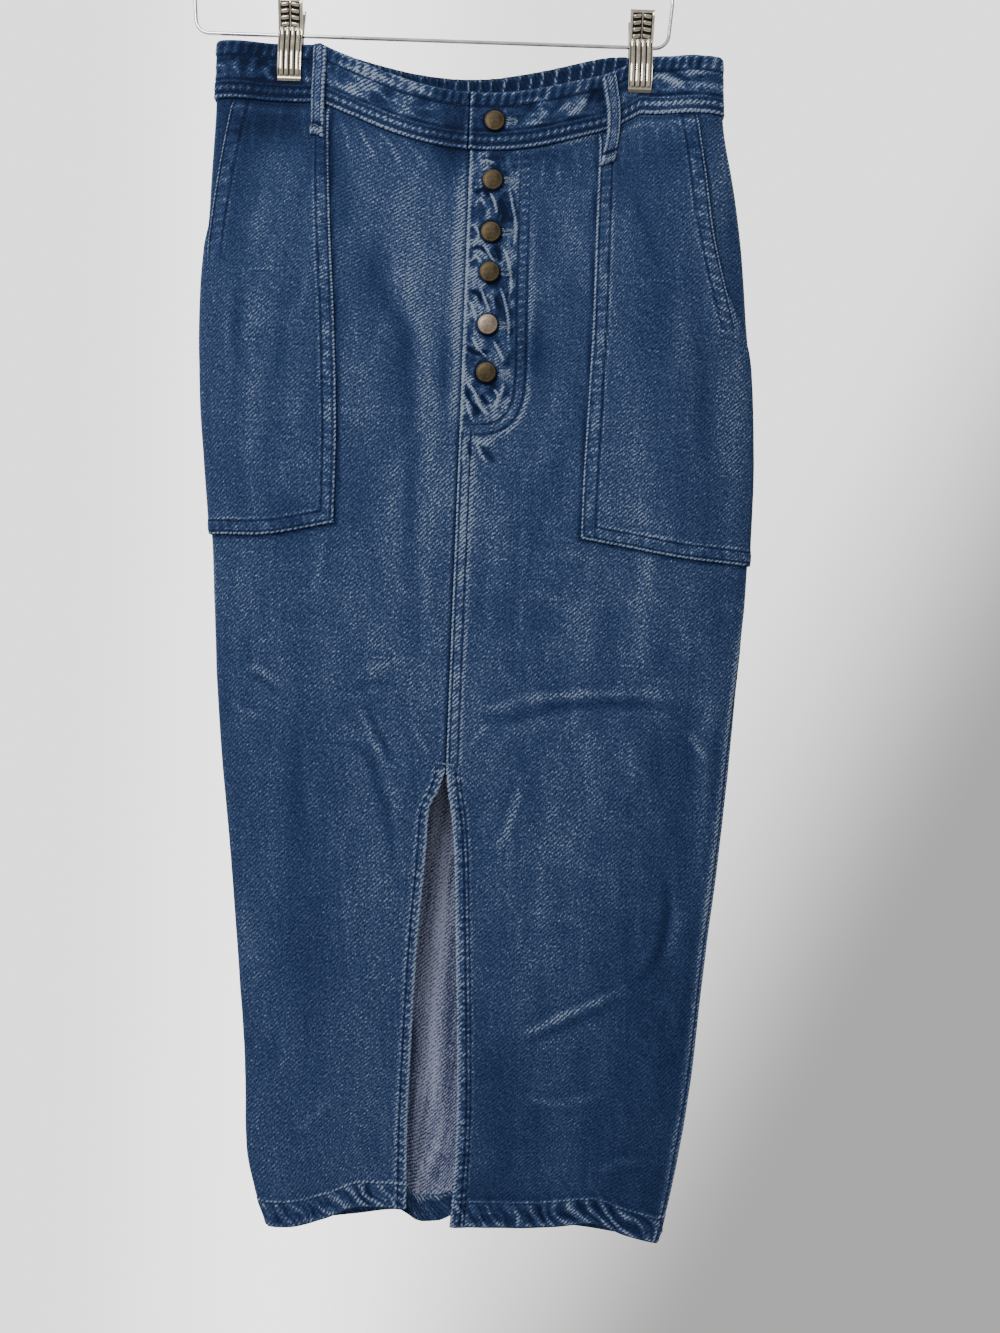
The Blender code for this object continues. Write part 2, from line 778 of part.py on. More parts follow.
def jaw(name, clip_x, facing, parent):
    """One pressed-steel jaw of a clip, a channel that arches out between its ends.
    facing is -1 for the front jaw and +1 for the back one."""
    points = []
    for sheet, corner in ((0, JAW_CORNER), (JAW_SHEET, JAW_INNER_CORNER)):
        side = CLIP_WIDTH / 2 - sheet
        face = CLIP_WIDTH / 2 - corner
        columns = (-side, -side, -face, face, side, side)
        for row in JAW:
            bevel = sheet + JAW_BEVEL
            backs = (row.flange, bevel, sheet, sheet, bevel, row.flange)
            for x, back in zip(columns, backs):
                y = facing * (row.out - back)
                points.append(((clip_x + x) * MM + CENTRE_X, y * MM, BAR_Z + row.height * MM))
    rows = len(JAW)
    cols = len(columns)
    count = rows * cols
    grid = np.arange(count).reshape(rows, cols)
    faces = []
    for i in range(rows - 1):
        for j in range(cols - 1):
            quad = (grid[i, j], grid[i + 1, j], grid[i + 1, j + 1], grid[i, j + 1])
            faces.append(tuple(int(k) for k in quad))
            faces.append(tuple(int(k) + count for k in reversed(quad)))
    rim = [*grid[0], *grid[1:, -1], *grid[-1, -2::-1], *grid[-2:0:-1, 0]]
    for a, b in zip(rim, rim[1:] + rim[:1]):
        faces.append((int(a), int(b), int(b) + count, int(a) + count))
    add_mesh(name, points, faces, "nickel", parent, smooth=False)


def spring(name, clip_x, parent):
    """The coil on the bar, as a sleeve round it."""
    sides = 12
    points = []
    for x in (-SPRING_HALF, SPRING_HALF):
        for radius in (SPRING_OUTER, SPRING_INNER):
            for k in range(sides):
                a = 2 * math.pi * k / sides
                y = radius * math.cos(a) * MM
                z = radius * math.sin(a) * MM
                points.append(((clip_x + x) * MM + CENTRE_X, y, BAR_Z + z))
    faces = []
    for k in range(sides):
        n = (k + 1) % sides
        outer, inner, far_outer, far_inner = (sides * r for r in range(4))
        faces.append((outer + k, outer + n, far_outer + n, far_outer + k))
        faces.append((inner + k, far_inner + k, far_inner + n, inner + n))
        faces.append((outer + k, inner + k, inner + n, outer + n))
        faces.append((far_outer + k, far_outer + n, far_inner + n, far_inner + k))
    add_mesh(name, points, faces, "nickel", parent)


def clips(parent):
    for side, clip_x in CLIP_XS.items():
        jaw(f"clip_{side}_front_jaw", clip_x, -1, parent)
        jaw(f"clip_{side}_back_jaw", clip_x, 1, parent)
        spring(f"clip_{side}_spring", clip_x, parent)


def main():
    clear_scene()
    root = bpy.data.objects.new("skirt_on_hanger", None)
    bpy.context.scene.collection.objects.link(root)
    for side in ("left", "right"):
        front_panel(side, root)
        front_band(side, root)
        pocket(side, root)
    back_panel(root)
    back_band(root)
    fly_underlay(root)
    for loop in LOOPS:
        belt_loop(loop, root)
    buttons(root)
    hanger(root)
    clips(root)


main()
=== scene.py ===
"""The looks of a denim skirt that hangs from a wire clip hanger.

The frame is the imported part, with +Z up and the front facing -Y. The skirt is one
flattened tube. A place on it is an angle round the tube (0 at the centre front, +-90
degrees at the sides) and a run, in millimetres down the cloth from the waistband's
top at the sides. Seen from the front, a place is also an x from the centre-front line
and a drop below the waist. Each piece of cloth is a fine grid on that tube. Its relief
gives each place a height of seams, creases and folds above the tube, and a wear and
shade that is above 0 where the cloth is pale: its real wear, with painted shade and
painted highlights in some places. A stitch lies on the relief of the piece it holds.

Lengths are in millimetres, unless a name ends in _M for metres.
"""

import math
from collections import namedtuple
from functools import partial

import bpy
import numpy as np
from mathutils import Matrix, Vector


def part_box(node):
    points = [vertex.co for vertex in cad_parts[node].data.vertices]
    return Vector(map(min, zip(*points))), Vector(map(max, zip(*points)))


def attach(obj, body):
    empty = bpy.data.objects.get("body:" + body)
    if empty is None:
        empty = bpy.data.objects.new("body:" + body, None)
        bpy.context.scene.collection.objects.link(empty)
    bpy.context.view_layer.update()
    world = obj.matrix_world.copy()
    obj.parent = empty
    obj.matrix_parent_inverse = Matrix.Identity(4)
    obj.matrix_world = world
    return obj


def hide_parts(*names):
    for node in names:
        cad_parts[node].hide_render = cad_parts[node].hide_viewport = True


def table(names, *rows):
    """Rows of numbers under named columns."""
    return dict(zip(names.split(), np.array(rows, float).T))


MM = 0.001
SIDES = ("left", "right")
# Which way x grows on each side: 1 towards the centre front, -1 away from it.
INWARD = {"left": 1, "right": -1}

# Where the tube hangs, and its main sizes.
BAR_Z_M = -0.160
WAIST_Z_M = BAR_Z_M - 0.0078
CENTRE_X_M = 0.0314
BAND_HEIGHT = 45.0
BAND_OUT = 1.1
TUCK = 1.9
HEM_RUN = 915.0
HEM_HEIGHT = 21.0
LENS_POWER = 2.6
SIDE_ROUND = 3.2

# About how long a degree round the tube's side is.
SIDE_DEGREE = 0.55

# How thick each piece of cloth is. A turned edge is double.
CLOTH = 1.2
BAND_CLOTH = 1.7
POCKET_CLOTH = 1.1
LOOP_CLOTH = 1.1
UNDERLAY_CLOTH = 1.0

# The tube's sections: half outlines from the centre-front line, and how far the
# front and the back stand away from the side seams.
SECTIONS = table(
    "drop left right front back",
    (0, -198, 195, 17, 8), (45, -198, 197, 19, 10), (110, -200, 209, 22, 13),
    (190, -203, 220, 24, 15), (270, -201, 227, 25, 16), (330, -196, 229.5, 25, 16),
    (400, -188, 228, 24, 16), (500, -181, 221.5, 23, 15), (600, -170.5, 215, 21, 14),
    (700, -160, 205, 19, 13), (790, -151, 197.5, 17, 12), (860, -146.5, 188, 16, 12),
    (890, -139.5, 183, 15.5, 11.5), (925, -126, 175, 15, 11),
)

# Where the side seams run, in degrees round the tube.
SIDE_SEAMS = table(
    "run left right",
    (0, -90, 90), (400, -90, 90), (490, -92, 84), (580, -94, 81), (925, -95, 81),
)

# The waist edge sags between the clips, less at the elastic back: where its middle is,
# its half span, its depth and the power of its curve.
FRONT_SAG = (8, 124, 40.5, 1.0)
BACK_SAG = (-8, 121, 17.5, 2.0)
SAG_FADE_END = 330

# Where the hem's lower edge hangs.
FRONT_HEM = table(
    "x drop",
    (-130, 919), (-112, 917), (-80, 907.5), (-50, 896.5), (-15, 896), (14, 909), (62, 909),
    (92, 907), (120, 904), (150, 914), (176, 922),
)
BACK_HEM = table(
    "x drop",
    (-130, 919), (-60, 912), (-26, 908), (-10, 917), (4, 916), (20, 910), (60, 914), (110, 915),
    (176, 922),
)
HEM_SHIFT_START = 760

# The centre front: a fly edge, a seam, and a slit that opens to the hem.
CENTRE_FRONT = table(
    "drop left right",
    (0, 1.6, 1.9), (300, 1, 1.3), (500, -0.4, 0), (556, -0.7, -0.2), (572, -4.5, 1.2),
    (590, -12, 4.4), (620, -13.2, 7.6), (690, -17.4, 11.2), (770, -19.8, 14.8),
    (830, -20.6, 16.4), (880, -19.8, 15.4), (925, -19.4, 13),
)
FLY_END = 300
SLIT_TOP = 556

# The x of the waistband's right end over the fly, and of the tongue's end under it.
BAND_END = 0.7
TONGUE_END = 36.0

# Clips and the way they press the waist together.
CLIP_XS = {"left": -141.2, "right": 131.4}
CLIP_WIDTH = 19
PINCH_HALF = 2.2
PINCH_SPREAD = 32
PINCH_TOP = 34
PINCH_FADE = 62

# The folds that the elastic sends down the back, and its gathers.
BACK_FOLDS = 6
BACK_FOLD_DEPTH = 2.4
BACK_FOLD_START = 30
BACK_FOLD_FULL = 80
BACK_FOLD_END = 330
GATHER_PITCH = 9.2

# Patch pockets: the edge towards the centre, the slanted opening and where it ends at
# the side seam, and the lower edge.
POCKET_TOP = 40
POCKET_OUT = 2.15
POCKETS = {
    "left": {
        "inner": table("drop x", (40, -108), (144, -102.4), (213, -97), (270, -93.6), (316, -92), (400, -92)),
        "opening": table("drop x", (40, -182), (80, -188), (120, -193.5), (160, -198)),
        "opening_end": 215,
        "foot": table("x drop", (-190, 383), (-156, 383.5), (-92, 373)),
    },
    "right": {
        "inner": table("drop x", (40, 100), (129, 99.8), (201, 99.8), (273, 98.2), (345, 96.2), (400, 96)),
        "opening": table("drop x", (40, 175), (90, 182.5), (135, 189), (176, 199), (212, 210.5)),
        "opening_end": 262,
        "foot": table("x drop", (96, 379), (129, 384), (178, 391), (228, 394)),
    },
}

# Belt loops: centre line and tilt, and how far each stands off along its run.
Loop = namedtuple("Loop", "side x lean bow top foot")
LOOPS = (Loop("left", -116, 1.0, 0.0, 1.0, 74.0), Loop("right", 106, 0.0, 4.5, 3.0, 75.0))
LOOP_WIDTH = 11.5
LOOP_LENGTH = 70
LOOP_FOLD = 9
LOOP_STATIONS = table(
    "along outer",
    (0, 3.2), (0.08, 4.4), (0.2, 4.4), (0.38, 5.4), (0.6, 5.6), (0.78, 5), (0.86, 4.4),
    (0.9, 5.8), (0.96, 6.2), (1, 4.6),
)

# Buttons, and the rows of stitches: how far each lies from its edge or the band's top.
BUTTON_X = 20.0
BUTTON_DROPS = (62.5, 108.0, 148.0, 178.5, 219.0, 255.5)
BAND_ROWS = (11.4, 32.9, 34.9, 39.7, 41.7)
ELASTIC_ROWS = (11.4, 22.5, 33.6)
SEAM_ROWS = (2.2, 8.8)
POCKET_ROWS = (2.2, 10.4)
OPENING_ROWS = (2.0, 11.6)
HEM_ROW = HEM_HEIGHT - 1.6

# The slit's turned edges: how wide each is, its rows, the lip at its edge, and the seed
# of its puckers.
Turned = namedtuple("Turned", "width rows lip seed")
SLIT_EDGES = {"left": Turned(8.6, (6.6,), 2.4, 43), "right": Turned(12.0, (7.6, 10.8), 3.6, 44)}

# Soft creases of the front. A row has a crease's width, how far it
# stands out (a trough where that is below 0) and then its path of (x, drop) points.
FRONT_CREASES = (
    (8, -1.8, (-87, 138), (-62, 196), (-42, 233), (-36, 309), (-32, 396), (-26, 460), (-21, 500)),
    (9, 0.8, (-62, 140), (-42, 190), (-24, 250), (-20, 330), (-16, 420)),
    (16, 0.7, (-110, 420), (-104, 500), (-100, 600), (-96, 720)),
    (3.2, -0.9, (-75, 500), (-55, 493), (-35, 495)), (4, 0.6, (-72, 488), (-49, 479), (-28, 475)),
    (3.2, -0.9, (-66, 505), (-50, 537), (-39, 557)),
    (3.2, 0.7, (-73, 507), (-60, 530), (-49, 553)),
    (4.5, -1.1, (-86, 538), (-62, 549), (-48, 583), (-41, 613), (-35, 652)),
    (4, 0.6, (-80, 530), (-56, 540), (-42, 572), (-34, 606)),
    (6, 0.7, (-81, 590), (-75, 645), (-68, 700)),
    (3.2, 0.9, (-160, 482), (-144, 488), (-126, 500)),
    (3, -0.7, (-158, 490), (-142, 496), (-128, 507)),
    (3.2, 0.9, (-171, 510), (-157, 519), (-140, 523)),
    (4, 0.8, (-111, 842), (-92, 828), (-73, 803)), (2.6, 0.8, (-30, 520), (-19, 538), (-12, 550)),
    (4, 0.9, (17, 513), (39, 508), (62, 501), (115, 496), (185, 497)),
    (4.5, -1, (20, 523), (55, 516), (85, 507), (146, 503), (190, 510)),
    (4, 1, (59, 560), (50, 595), (40, 622)), (4.5, -0.6, (52, 556), (43, 590), (34, 616)),
    (3.4, 1.4, (60, 761), (93, 745), (150, 718)), (4, -0.7, (64, 768), (97, 752), (150, 728)),
    (4.5, -1.1, (168, 624), (173, 661), (165, 700), (144, 726)),
    (4.5, 0.7, (176, 640), (180, 670), (174, 704)), (3.6, 0.8, (60, 806), (96, 811), (139, 801)),
    (3.6, 0.9, (126, 865), (142, 856), (162, 857)), (3.6, 1, (182, 520), (192, 534), (200, 552)),
    (6, -1, (127, 108), (138, 141), (148, 178)), (7, 0.9, (168, 176), (173, 255), (175, 340)),
    (8, -0.9, (184, 200), (188, 260), (190, 330)),
    (9, 0.7, (-152, 110), (-158, 170), (-160, 240)),
    (9, -0.6, (-136, 140), (-138, 210), (-140, 280)), (12, -0.8, (60, 320), (64, 400), (66, 480)),
    (2.6, 0.7, (14, 545), (24, 530), (34, 520)), (9, -0.9, (30, 660), (36, 740), (40, 830)),
    (22, 0.8, (100, 560), (110, 660), (112, 780)),
)

# Short puckers under the waistband, where it was eased in.
EASE_CREASES = (
    (1.6, 0.9, (-100, 58), (-93, 76), (-89, 96)), (1.6, 0.9, (-89, 64), (-77, 82), (-67, 101)),
    (1.7, 0.9, (-72, 70), (-57, 86), (-49, 104)), (1.6, 0.7, (-51, 77), (-37, 92), (-26, 108)),
    (1.4, 0.6, (-36, 82), (-24, 96), (-16, 116)), (1.4, 0.5, (-20, 86), (-12, 100), (-8, 122)),
    (1.7, 0.7, (-128, 50), (-127, 66), (-124, 84)),
    (1.8, 0.7, (-146, 48), (-147, 64), (-149, 84)),
    (1.8, 0.6, (-166, 48), (-167, 66), (-166, 90)), (1.4, 0.8, (60, 86), (58, 98), (57, 116)),
    (1.4, 0.8, (72, 83), (70, 97), (70, 112)), (1.4, 0.7, (84, 78), (83, 92), (84, 104)),
    (1.6, 0.9, (121, 62), (119, 78), (118, 98)), (1.6, 0.9, (134, 56), (133, 70), (132, 90)),
    (1.6, 0.8, (146, 52), (146, 66), (147, 84)), (1.6, 0.8, (158, 49), (159, 62), (161, 78)),
)

# The waistband's diagonal drag folds.
BAND_CREASES = (
    (3.4, 1, (-109, 15), (-88, 27), (-60, 43)), (3, 0.8, (-91, 18), (-65, 32), (-30, 46)),
    (2.8, 0.8, (-112, 28), (-96, 38), (-72, 52)), (2.8, 0.7, (-66, 26), (-44, 38), (-16, 50)),
    (2.4, -0.7, (-100, 20), (-80, 33), (-54, 47)), (2.6, -0.7, (-76, 22), (-54, 35), (-28, 50)),
    (3, 0.9, (-186, 14), (-182, 22), (-177, 29)), (3.2, 0.9, (-166, 10), (-170, 20), (-174, 29)),
    (3, 0.8, (-162, 16), (-158, 24), (-152, 30)), (2.2, 0.7, (-131, 14), (-128, 24), (-124, 33)),
    (2.4, 0.7, (34, 50), (48, 46), (64, 46)), (2.2, 0.8, (44, 66), (54, 60), (62, 52)),
    (2.2, 0.8, (60, 62), (70, 52), (78, 44)), (2.2, 0.8, (74, 58), (84, 48), (92, 38)),
    (2.4, -0.6, (88, 46), (94, 36), (99, 28)), (2.4, 0.8, (146, 14), (156, 20), (168, 26)),
    (2.2, -0.7, (152, 10), (166, 18), (184, 20)), (2.2, 0.7, (160, 8), (174, 13), (190, 14)),
    (2.4, 0.7, (170, 28), (180, 24), (192, 24)),
)

# The fly's puckers, between the buttons and the stitched curve.
FLY_CREASES = (
    (0.9, 1.5, (17, 116), (22, 125), (25, 137)),
    (1, 1.4, (32, 111), (36, 128), (39, 146), (37, 164)),
    (0.8, 1.4, (15, 158), (20, 166), (24, 172)),
    (1, 1.4, (29, 158), (34, 170), (37, 190), (34, 202)),
    (0.9, 1.5, (13, 190), (18, 202), (22, 212)),
    (1, 1.4, (27, 187), (33, 203), (36, 220), (36, 234)),
    (0.9, 1.4, (8, 227), (13, 237), (22, 246)), (0.9, 1.2, (24, 230), (34, 248)),
    (1.1, 1.6, (4, 262), (11, 270), (17, 282), (25, 289)),
    (1, 1.2, (24, 266), (30, 274), (27, 286)), (1, 1, (34, 262), (31, 274), (24, 284)),
    (1, 1, (8, 96), (16, 94), (24, 97)), (1.1, 1, (5, 130), (12, 124), (16, 131)),
    (1, 0.9, (5, 141), (11, 150), (8, 158)), (1, 1, (4, 172), (10, 168), (15, 174)),
    (1.1, 1, (4, 200), (9, 208), (12, 220)), (1, 1, (6, 276), (8, 285), (12, 294)),
    (1.1, 0.6, (14, 307), (18, 317), (24, 326)), (1.8, 0.5, (4, 306), (5, 316), (4, 330)),
    (1.8, 0.5, (11, 306), (20, 309), (30, 308)), (2.2, 0.4, (10, 322), (14, 330), (16, 338)),
    (1.8, -0.6, (9, 308), (10, 315), (11, 321)), (2.6, -0.5, (19, 312), (25, 319), (30, 324)),
    (1.9, -1.2, (6, 119), (13, 116), (20, 121)), (1.9, -1.3, (25, 120), (30, 132), (31, 142)),
    (1.7, -1.2, (4, 163), (12, 160), (18, 166)), (1.9, -1.2, (26, 160), (28, 172)),
    (1.7, -1.2, (5, 194), (12, 196), (15, 205)), (1.9, -1.2, (25, 196), (29, 208)),
    (1.9, -1.3, (4, 236), (12, 241), (24, 239)), (1.9, -1.3, (16, 272), (23, 281)),
    (1.5, -1, (5, 268), (10, 279), (20, 290)),
)

# The creases of the back, which are like the front's.
BACK_CREASES = (
    (10, -1.4, (-120, 60), (-104, 130), (-98, 220), (-92, 330)),
    (9, -1.2, (-60, 70), (-52, 150), (-50, 260)),
    (11, -1.3, (0, 80), (4, 170), (2, 300), (-6, 420)), (9, -1.2, (52, 70), (60, 160), (64, 280)),
    (10, -1.4, (112, 62), (116, 150), (126, 260), (130, 360)),
    (10, 0.9, (-90, 80), (-80, 170), (-74, 300)), (10, 0.9, (28, 80), (32, 180), (36, 330)),
    (6, -0.8, (-150, 470), (-100, 486), (-40, 480)),
    (5, 0.6, (-146, 482), (-98, 497), (-44, 492)), (4, 0.5, (-132, 512), (-104, 520), (-72, 514)),
    (5, 0.7, (30, 500), (90, 488), (170, 492)), (6, -0.6, (34, 512), (92, 500), (166, 503)),
    (4, 0.5, (60, 536), (104, 524), (150, 528)), (8, -0.6, (-60, 560), (-20, 590), (40, 600)),
    (9, -0.7, (150, 600), (128, 660), (96, 700)), (5, 0.6, (-120, 760), (-70, 742), (-10, 750)),
    (6, -0.5, (-110, 772), (-66, 756), (-16, 762)), (6, -0.6, (20, 800), (70, 790), (120, 806)),
    (5, 0.5, (26, 812), (72, 803), (112, 816)), (12, -1.2, (-20, 640), (-16, 740), (-14, 860)),
    (14, 1, (60, 620), (66, 740), (64, 860)),
)

# The folds on the inside of the back that show through the slit.
SLIT_CREASES = (
    (3.4, 1.4, (-4, 590), (-2, 680), (-3, 780), (0, 868)),
    (3, -1.2, (8, 640), (9, 740), (8, 860)), (2.4, 1.1, (4, 850), (-4, 866), (-12, 884)),
    (2.2, -1, (12, 862), (4, 872), (0, 890)), (3, 0.9, (-12, 700), (-11, 780), (-14, 850)),
)

# The stitched curve of the fly: its inner row's (x, drop) points, and how far out its
# outer row and the pale ridge beside that lie.
FLY_CURVE = (
    (41.2, 84), (41.2, 140), (41.6, 199), (42.4, 240), (42, 266), (38.8, 281), (32, 290.5),
    (22, 294.4), (12, 295.2), (1.5, 295.2),
)
FLY_ROW_GAP = 7.4
FLY_RIDGE_GAP = 10.8
FLY_TOP = FLY_CURVE[0][1]

# The strip behind the fly: the x of its edges, and of the narrow seam backing below it.
UNDERLAY_XS = (-28.0, 40.0)
BACKING_XS = (-8.0, 9.0)

# Soft patches of the front's fade and of painted shade, such as the shade under the
# waistband and towards the lower right: the x and drop of each, how wide and tall it
# spreads, and how much paler it is (darker where that is below 0).
FADES_AND_SHADE = (
    (-148, 62, 32, 22, -0.32), (-110, 92, 12, 22, -0.26), (-10, 84, 15, 24, -0.3),
    (-94, 130, 9, 30, -0.14), (-68, 192, 11, 34, -0.16), (-50, 250, 12, 50, -0.13),
    (-10, 256, 9, 22, -0.16), (9, 180, 8, 80, 0.1), (10, 352, 9, 40, 0.14),
    (56, 240, 14, 22, -0.18), (48, 390, 13, 110, -0.04), (124, 102, 32, 32, -0.08),
    (152, 78, 30, 20, -0.1), (62, 88, 30, 9, -0.1), (-174, 105, 16, 60, -0.13),
    (30, 140, 7, 14, -0.14), (-100, 720, 24, 150, -0.05), (196, 780, 12, 90, -0.12),
    (172, 884, 22, 34, -0.1), (40, 884, 24, 16, -0.1), (92, 492, 40, 26, -0.05),
    (150, 190, 20, 60, -0.08), (168, 304, 22, 66, -0.07), (212, 330, 10, 110, 0.1),
    (214, 570, 10, 56, -0.11), (30, 110, 7, 34, -0.12), (31, 236, 6, 12, -0.12),
    (30, 362, 12, 60, 0.08), (-30, 400, 14, 60, 0.06), (-10, 345, 9, 30, 0.08),
    (132, 335, 16, 60, 0.06), (196, 100, 12, 60, 0.14), (-130, 372, 16, 22, -0.14),
    (-112, 590, 14, 90, -0.12), (110, 440, 20, 40, 0.08), (-60, 476, 16, 34, 0.07),
    (190, 545, 14, 30, -0.1), (164, 700, 34, 90, -0.16), (140, 850, 70, 90, -0.15),
    (50, 810, 22, 80, -0.14),
)


# ---------------------------------------------------------------- the tube


def slopes(xs, ys):
    """Slopes at the rows that keep the curve from overshooting between them."""
    width = np.diff(xs)
    rise = np.diff(ys) / width
    before = width[:-1] + 2 * width[1:]
    after = 2 * width[:-1] + width[1:]
    turning = rise[:-1] * rise[1:] <= 0
    first, second = (np.where(turning, 1.0, part) for part in (rise[:-1], rise[1:]))
    mean = (before + after) / (before / first + after / second)
    return np.concatenate([rise[:1], np.where(turning, 0.0, mean), rise[-1:]])


def read(rows, at, name):
    """A smooth curve through one column of a table, by the table's first column. It is
    held level past both ends."""
    xs = next(iter(rows.values()))
    ys = rows[name]
    slope = slopes(xs, ys)
    at = np.asarray(at, float)
    i = np.clip(np.searchsorted(xs, at) - 1, 0, len(xs) - 2)
    width = xs[i + 1] - xs[i]
    t = np.clip((at - xs[i]) / width, 0, 1)
    t2 = t * t
    t3 = t2 * t
    start = (2 * t3 - 3 * t2 + 1) * ys[i] + (t3 - 2 * t2 + t) * width * slope[i]
    return start + (3 * t2 - 2 * t3) * ys[i + 1] + (t3 - t2) * width * slope[i + 1]


def ramp(at, start, end):
    """A soft step from 0 to 1."""
    t = np.clip((np.asarray(at, float) - start) / (end - start), 0, 1)
    return t * t * (3 - 2 * t)


def gauss(distance, width):
    return np.exp(-((distance / width) ** 2))


def stripes(at, *rows):
    """The sum of soft stripes, each given by its middle, width and strength."""
    return sum(strength * gauss(at - middle, width) for middle, width, strength in rows)


def window(at, low, high, soft=1.0):
    """1 between low and high, with soft ends."""
    return ramp(at, low - soft, low + soft) * (1 - ramp(at, high - soft, high + soft))


def sag(x, centre, half_span, depth, power):
    return depth * np.clip(1 - ((x - centre) / half_span) ** 2, 0, 1) ** power


def outline(drop):
    """The tube's middle and half width at a drop."""
    left = read(SECTIONS, drop, "left")
    right = read(SECTIONS, drop, "right")
    return (left + right) / 2, (right - left) / 2


def place(angle, run):
    """(x, drop) of a place on the tube."""
    middle, half = outline(run)
    x = middle + half * np.sin(angle)
    front = np.cos(angle) >= 0
    fall = np.where(front, sag(x, *FRONT_SAG), sag(x, *BACK_SAG))
    hem_drop = np.where(front, read(FRONT_HEM, x, "drop"), read(BACK_HEM, x, "drop"))
    drop = run + fall * (1 - ramp(run, BAND_HEIGHT, SAG_FADE_END))
    drop = drop + (hem_drop - HEM_RUN) * ramp(run, HEM_SHIFT_START, HEM_RUN)
    middle, half = outline(drop)
    return middle + half * np.sin(angle), drop


def pinch(x, drop):
    """1 where a clip presses the front and the back together, fading out round it."""
    most = 0.0
    for clip_x in CLIP_XS.values():
        aside = np.maximum(np.abs(x - clip_x) - CLIP_WIDTH / 2, 0) / PINCH_SPREAD
        below = np.maximum(drop - PINCH_TOP, 0) / PINCH_FADE
        most = np.maximum(most, np.exp(-(aside**2) - below**2))
    return most


def bare(angle, run):
    """(x, y, drop) on the tube itself."""
    x, drop = place(angle, run)
    _, half = outline(drop)
    front = np.cos(angle) >= 0
    bulge = np.where(front, read(SECTIONS, drop, "front"), read(SECTIONS, drop, "back"))
    across = np.abs(np.sin(angle))
    inset = np.minimum(half * (1 - across), SIDE_ROUND)
    lens = bulge**2 * (1 - across**LENS_POWER) + 2 * SIDE_ROUND * inset - inset**2
    deep = np.sqrt(np.maximum(lens, 0))
    pinched = pinch(x, drop)
    deep = deep - np.maximum(deep - PINCH_HALF, 0) * pinched
    fold = (0.5 - 0.5 * np.cos(2 * BACK_FOLDS * angle)) * (1 - pinched)
    fold = fold * ramp(run, BACK_FOLD_START, BACK_FOLD_FULL)
    fold = fold * (1 - ramp(run, BAND_HEIGHT, BACK_FOLD_END))
    deep = deep + np.where(front, 0, BACK_FOLD_DEPTH * fold)
    return x, np.where(front, -deep, deep), drop


def normals(angle, run):
    """The tube's outward normals, level, along a last axis of three."""
    small = 1e-3
    x0, y0, _ = bare(angle - small, run)
    x1, y1, _ = bare(angle + small, run)
    along = np.hypot(x1 - x0, y1 - y0)
    return np.stack([(y1 - y0) / along, -(x1 - x0) / along, 0 * along], axis=-1)


def tube(angle, run, out):
    """Points in metres, moved out from the tube."""
    x, y, drop = bare(angle, run)
    points = np.stack([x, y, -drop], axis=-1) + normals(angle, run) * np.asarray(out)[..., None]
    return MM * points + (CENTRE_X_M, 0, WAIST_Z_M)


def angle_at(x, run):
    """The front's angle at an x, which is a number or a function of the drop."""
    run = np.asarray(run, float)
    angle = np.zeros_like(run)
    for _ in range(6):
        _, drop = place(angle, run)
        middle, half = outline(drop)
        wanted = x(drop) if callable(x) else x
        angle = np.arcsin(np.clip((wanted - middle) / half, -1, 1))
    return angle


def on_front(x, drop):
    """The angle and run of a place on the front that is given by its x and drop."""
    x, drop = np.asarray(x, float), np.asarray(drop, float)
    middle, half = outline(drop)
    angle = np.arcsin(np.clip((x - middle) / half, -1, 1))
    run = drop.copy()
    for _ in range(25):
        run = run + 0.8 * (drop - place(angle, run)[1])
    return angle, run


def side_seam(side, run):
    return np.radians(read(SIDE_SEAMS, run, side))


def back_sides(run):
    """The angles between which the back lies, from the right side seam to the left."""
    return side_seam("right", run) - 2 * math.pi, side_seam("left", run)


# ---------------------------------------------------------------- relief


def noise(u, v, seed):
    """Smooth noise from -1 to 1, with features about 1 wide."""
    size = 97
    grid = np.random.default_rng(seed).uniform(-1, 1, (size, size))
    u, v = np.broadcast_arrays(np.asarray(u, float), np.asarray(v, float))
    i, j = np.floor(u).astype(int), np.floor(v).astype(int)
    across, down = ramp(u - i, 0, 1), ramp(v - j, 0, 1)
    low, high = (
        grid[i % size, row % size] * (1 - across) + grid[(i + 1) % size, row % size] * across
        for row in (j, j + 1)
    )
    return low * (1 - down) + high * down


def crumple(u, v, seed):
    """Sharp little ridges between soft hollows, from -1 to 1."""
    bend = noise(u * 0.6, v * 0.6, seed + 1)
    first = 1 - 2 * np.abs(noise(u + 0.7 * bend, v, seed))
    second = 1 - 2 * np.abs(noise(u * 2.1, v * 2.1 + bend, seed + 2))
    return np.clip(0.7 * first + 0.35 * second - 0.25, -1, 1)


def curve(path, steps=6):
    """A smooth curve through a path's points."""
    path = np.asarray(path, float)
    padded = np.concatenate([[2 * path[0] - path[1]], path, [2 * path[-1] - path[-2]]])
    points = []
    for k in range(len(path) - 1):
        p0, p1, p2, p3 = padded[k : k + 4]
        bend = 2 * p0 - 5 * p1 + 4 * p2 - p3
        twist = -p0 + 3 * p1 - 3 * p2 + p3
        for t in np.arange(steps) / steps:
            points.append(p1 + 0.5 * t * ((p2 - p0) + t * (bend + t * twist)))
    return np.array([*points, path[-1]])


def offset(path, gap, steps=10):
    """A path's curve moved sideways, towards greater x where it leads down."""
    points = curve(path, steps)
    step = np.gradient(points, axis=0)
    step = step / np.linalg.norm(step, axis=1)[:, None]
    return points + gap * np.stack([step[:, 1], -step[:, 0]], axis=1)


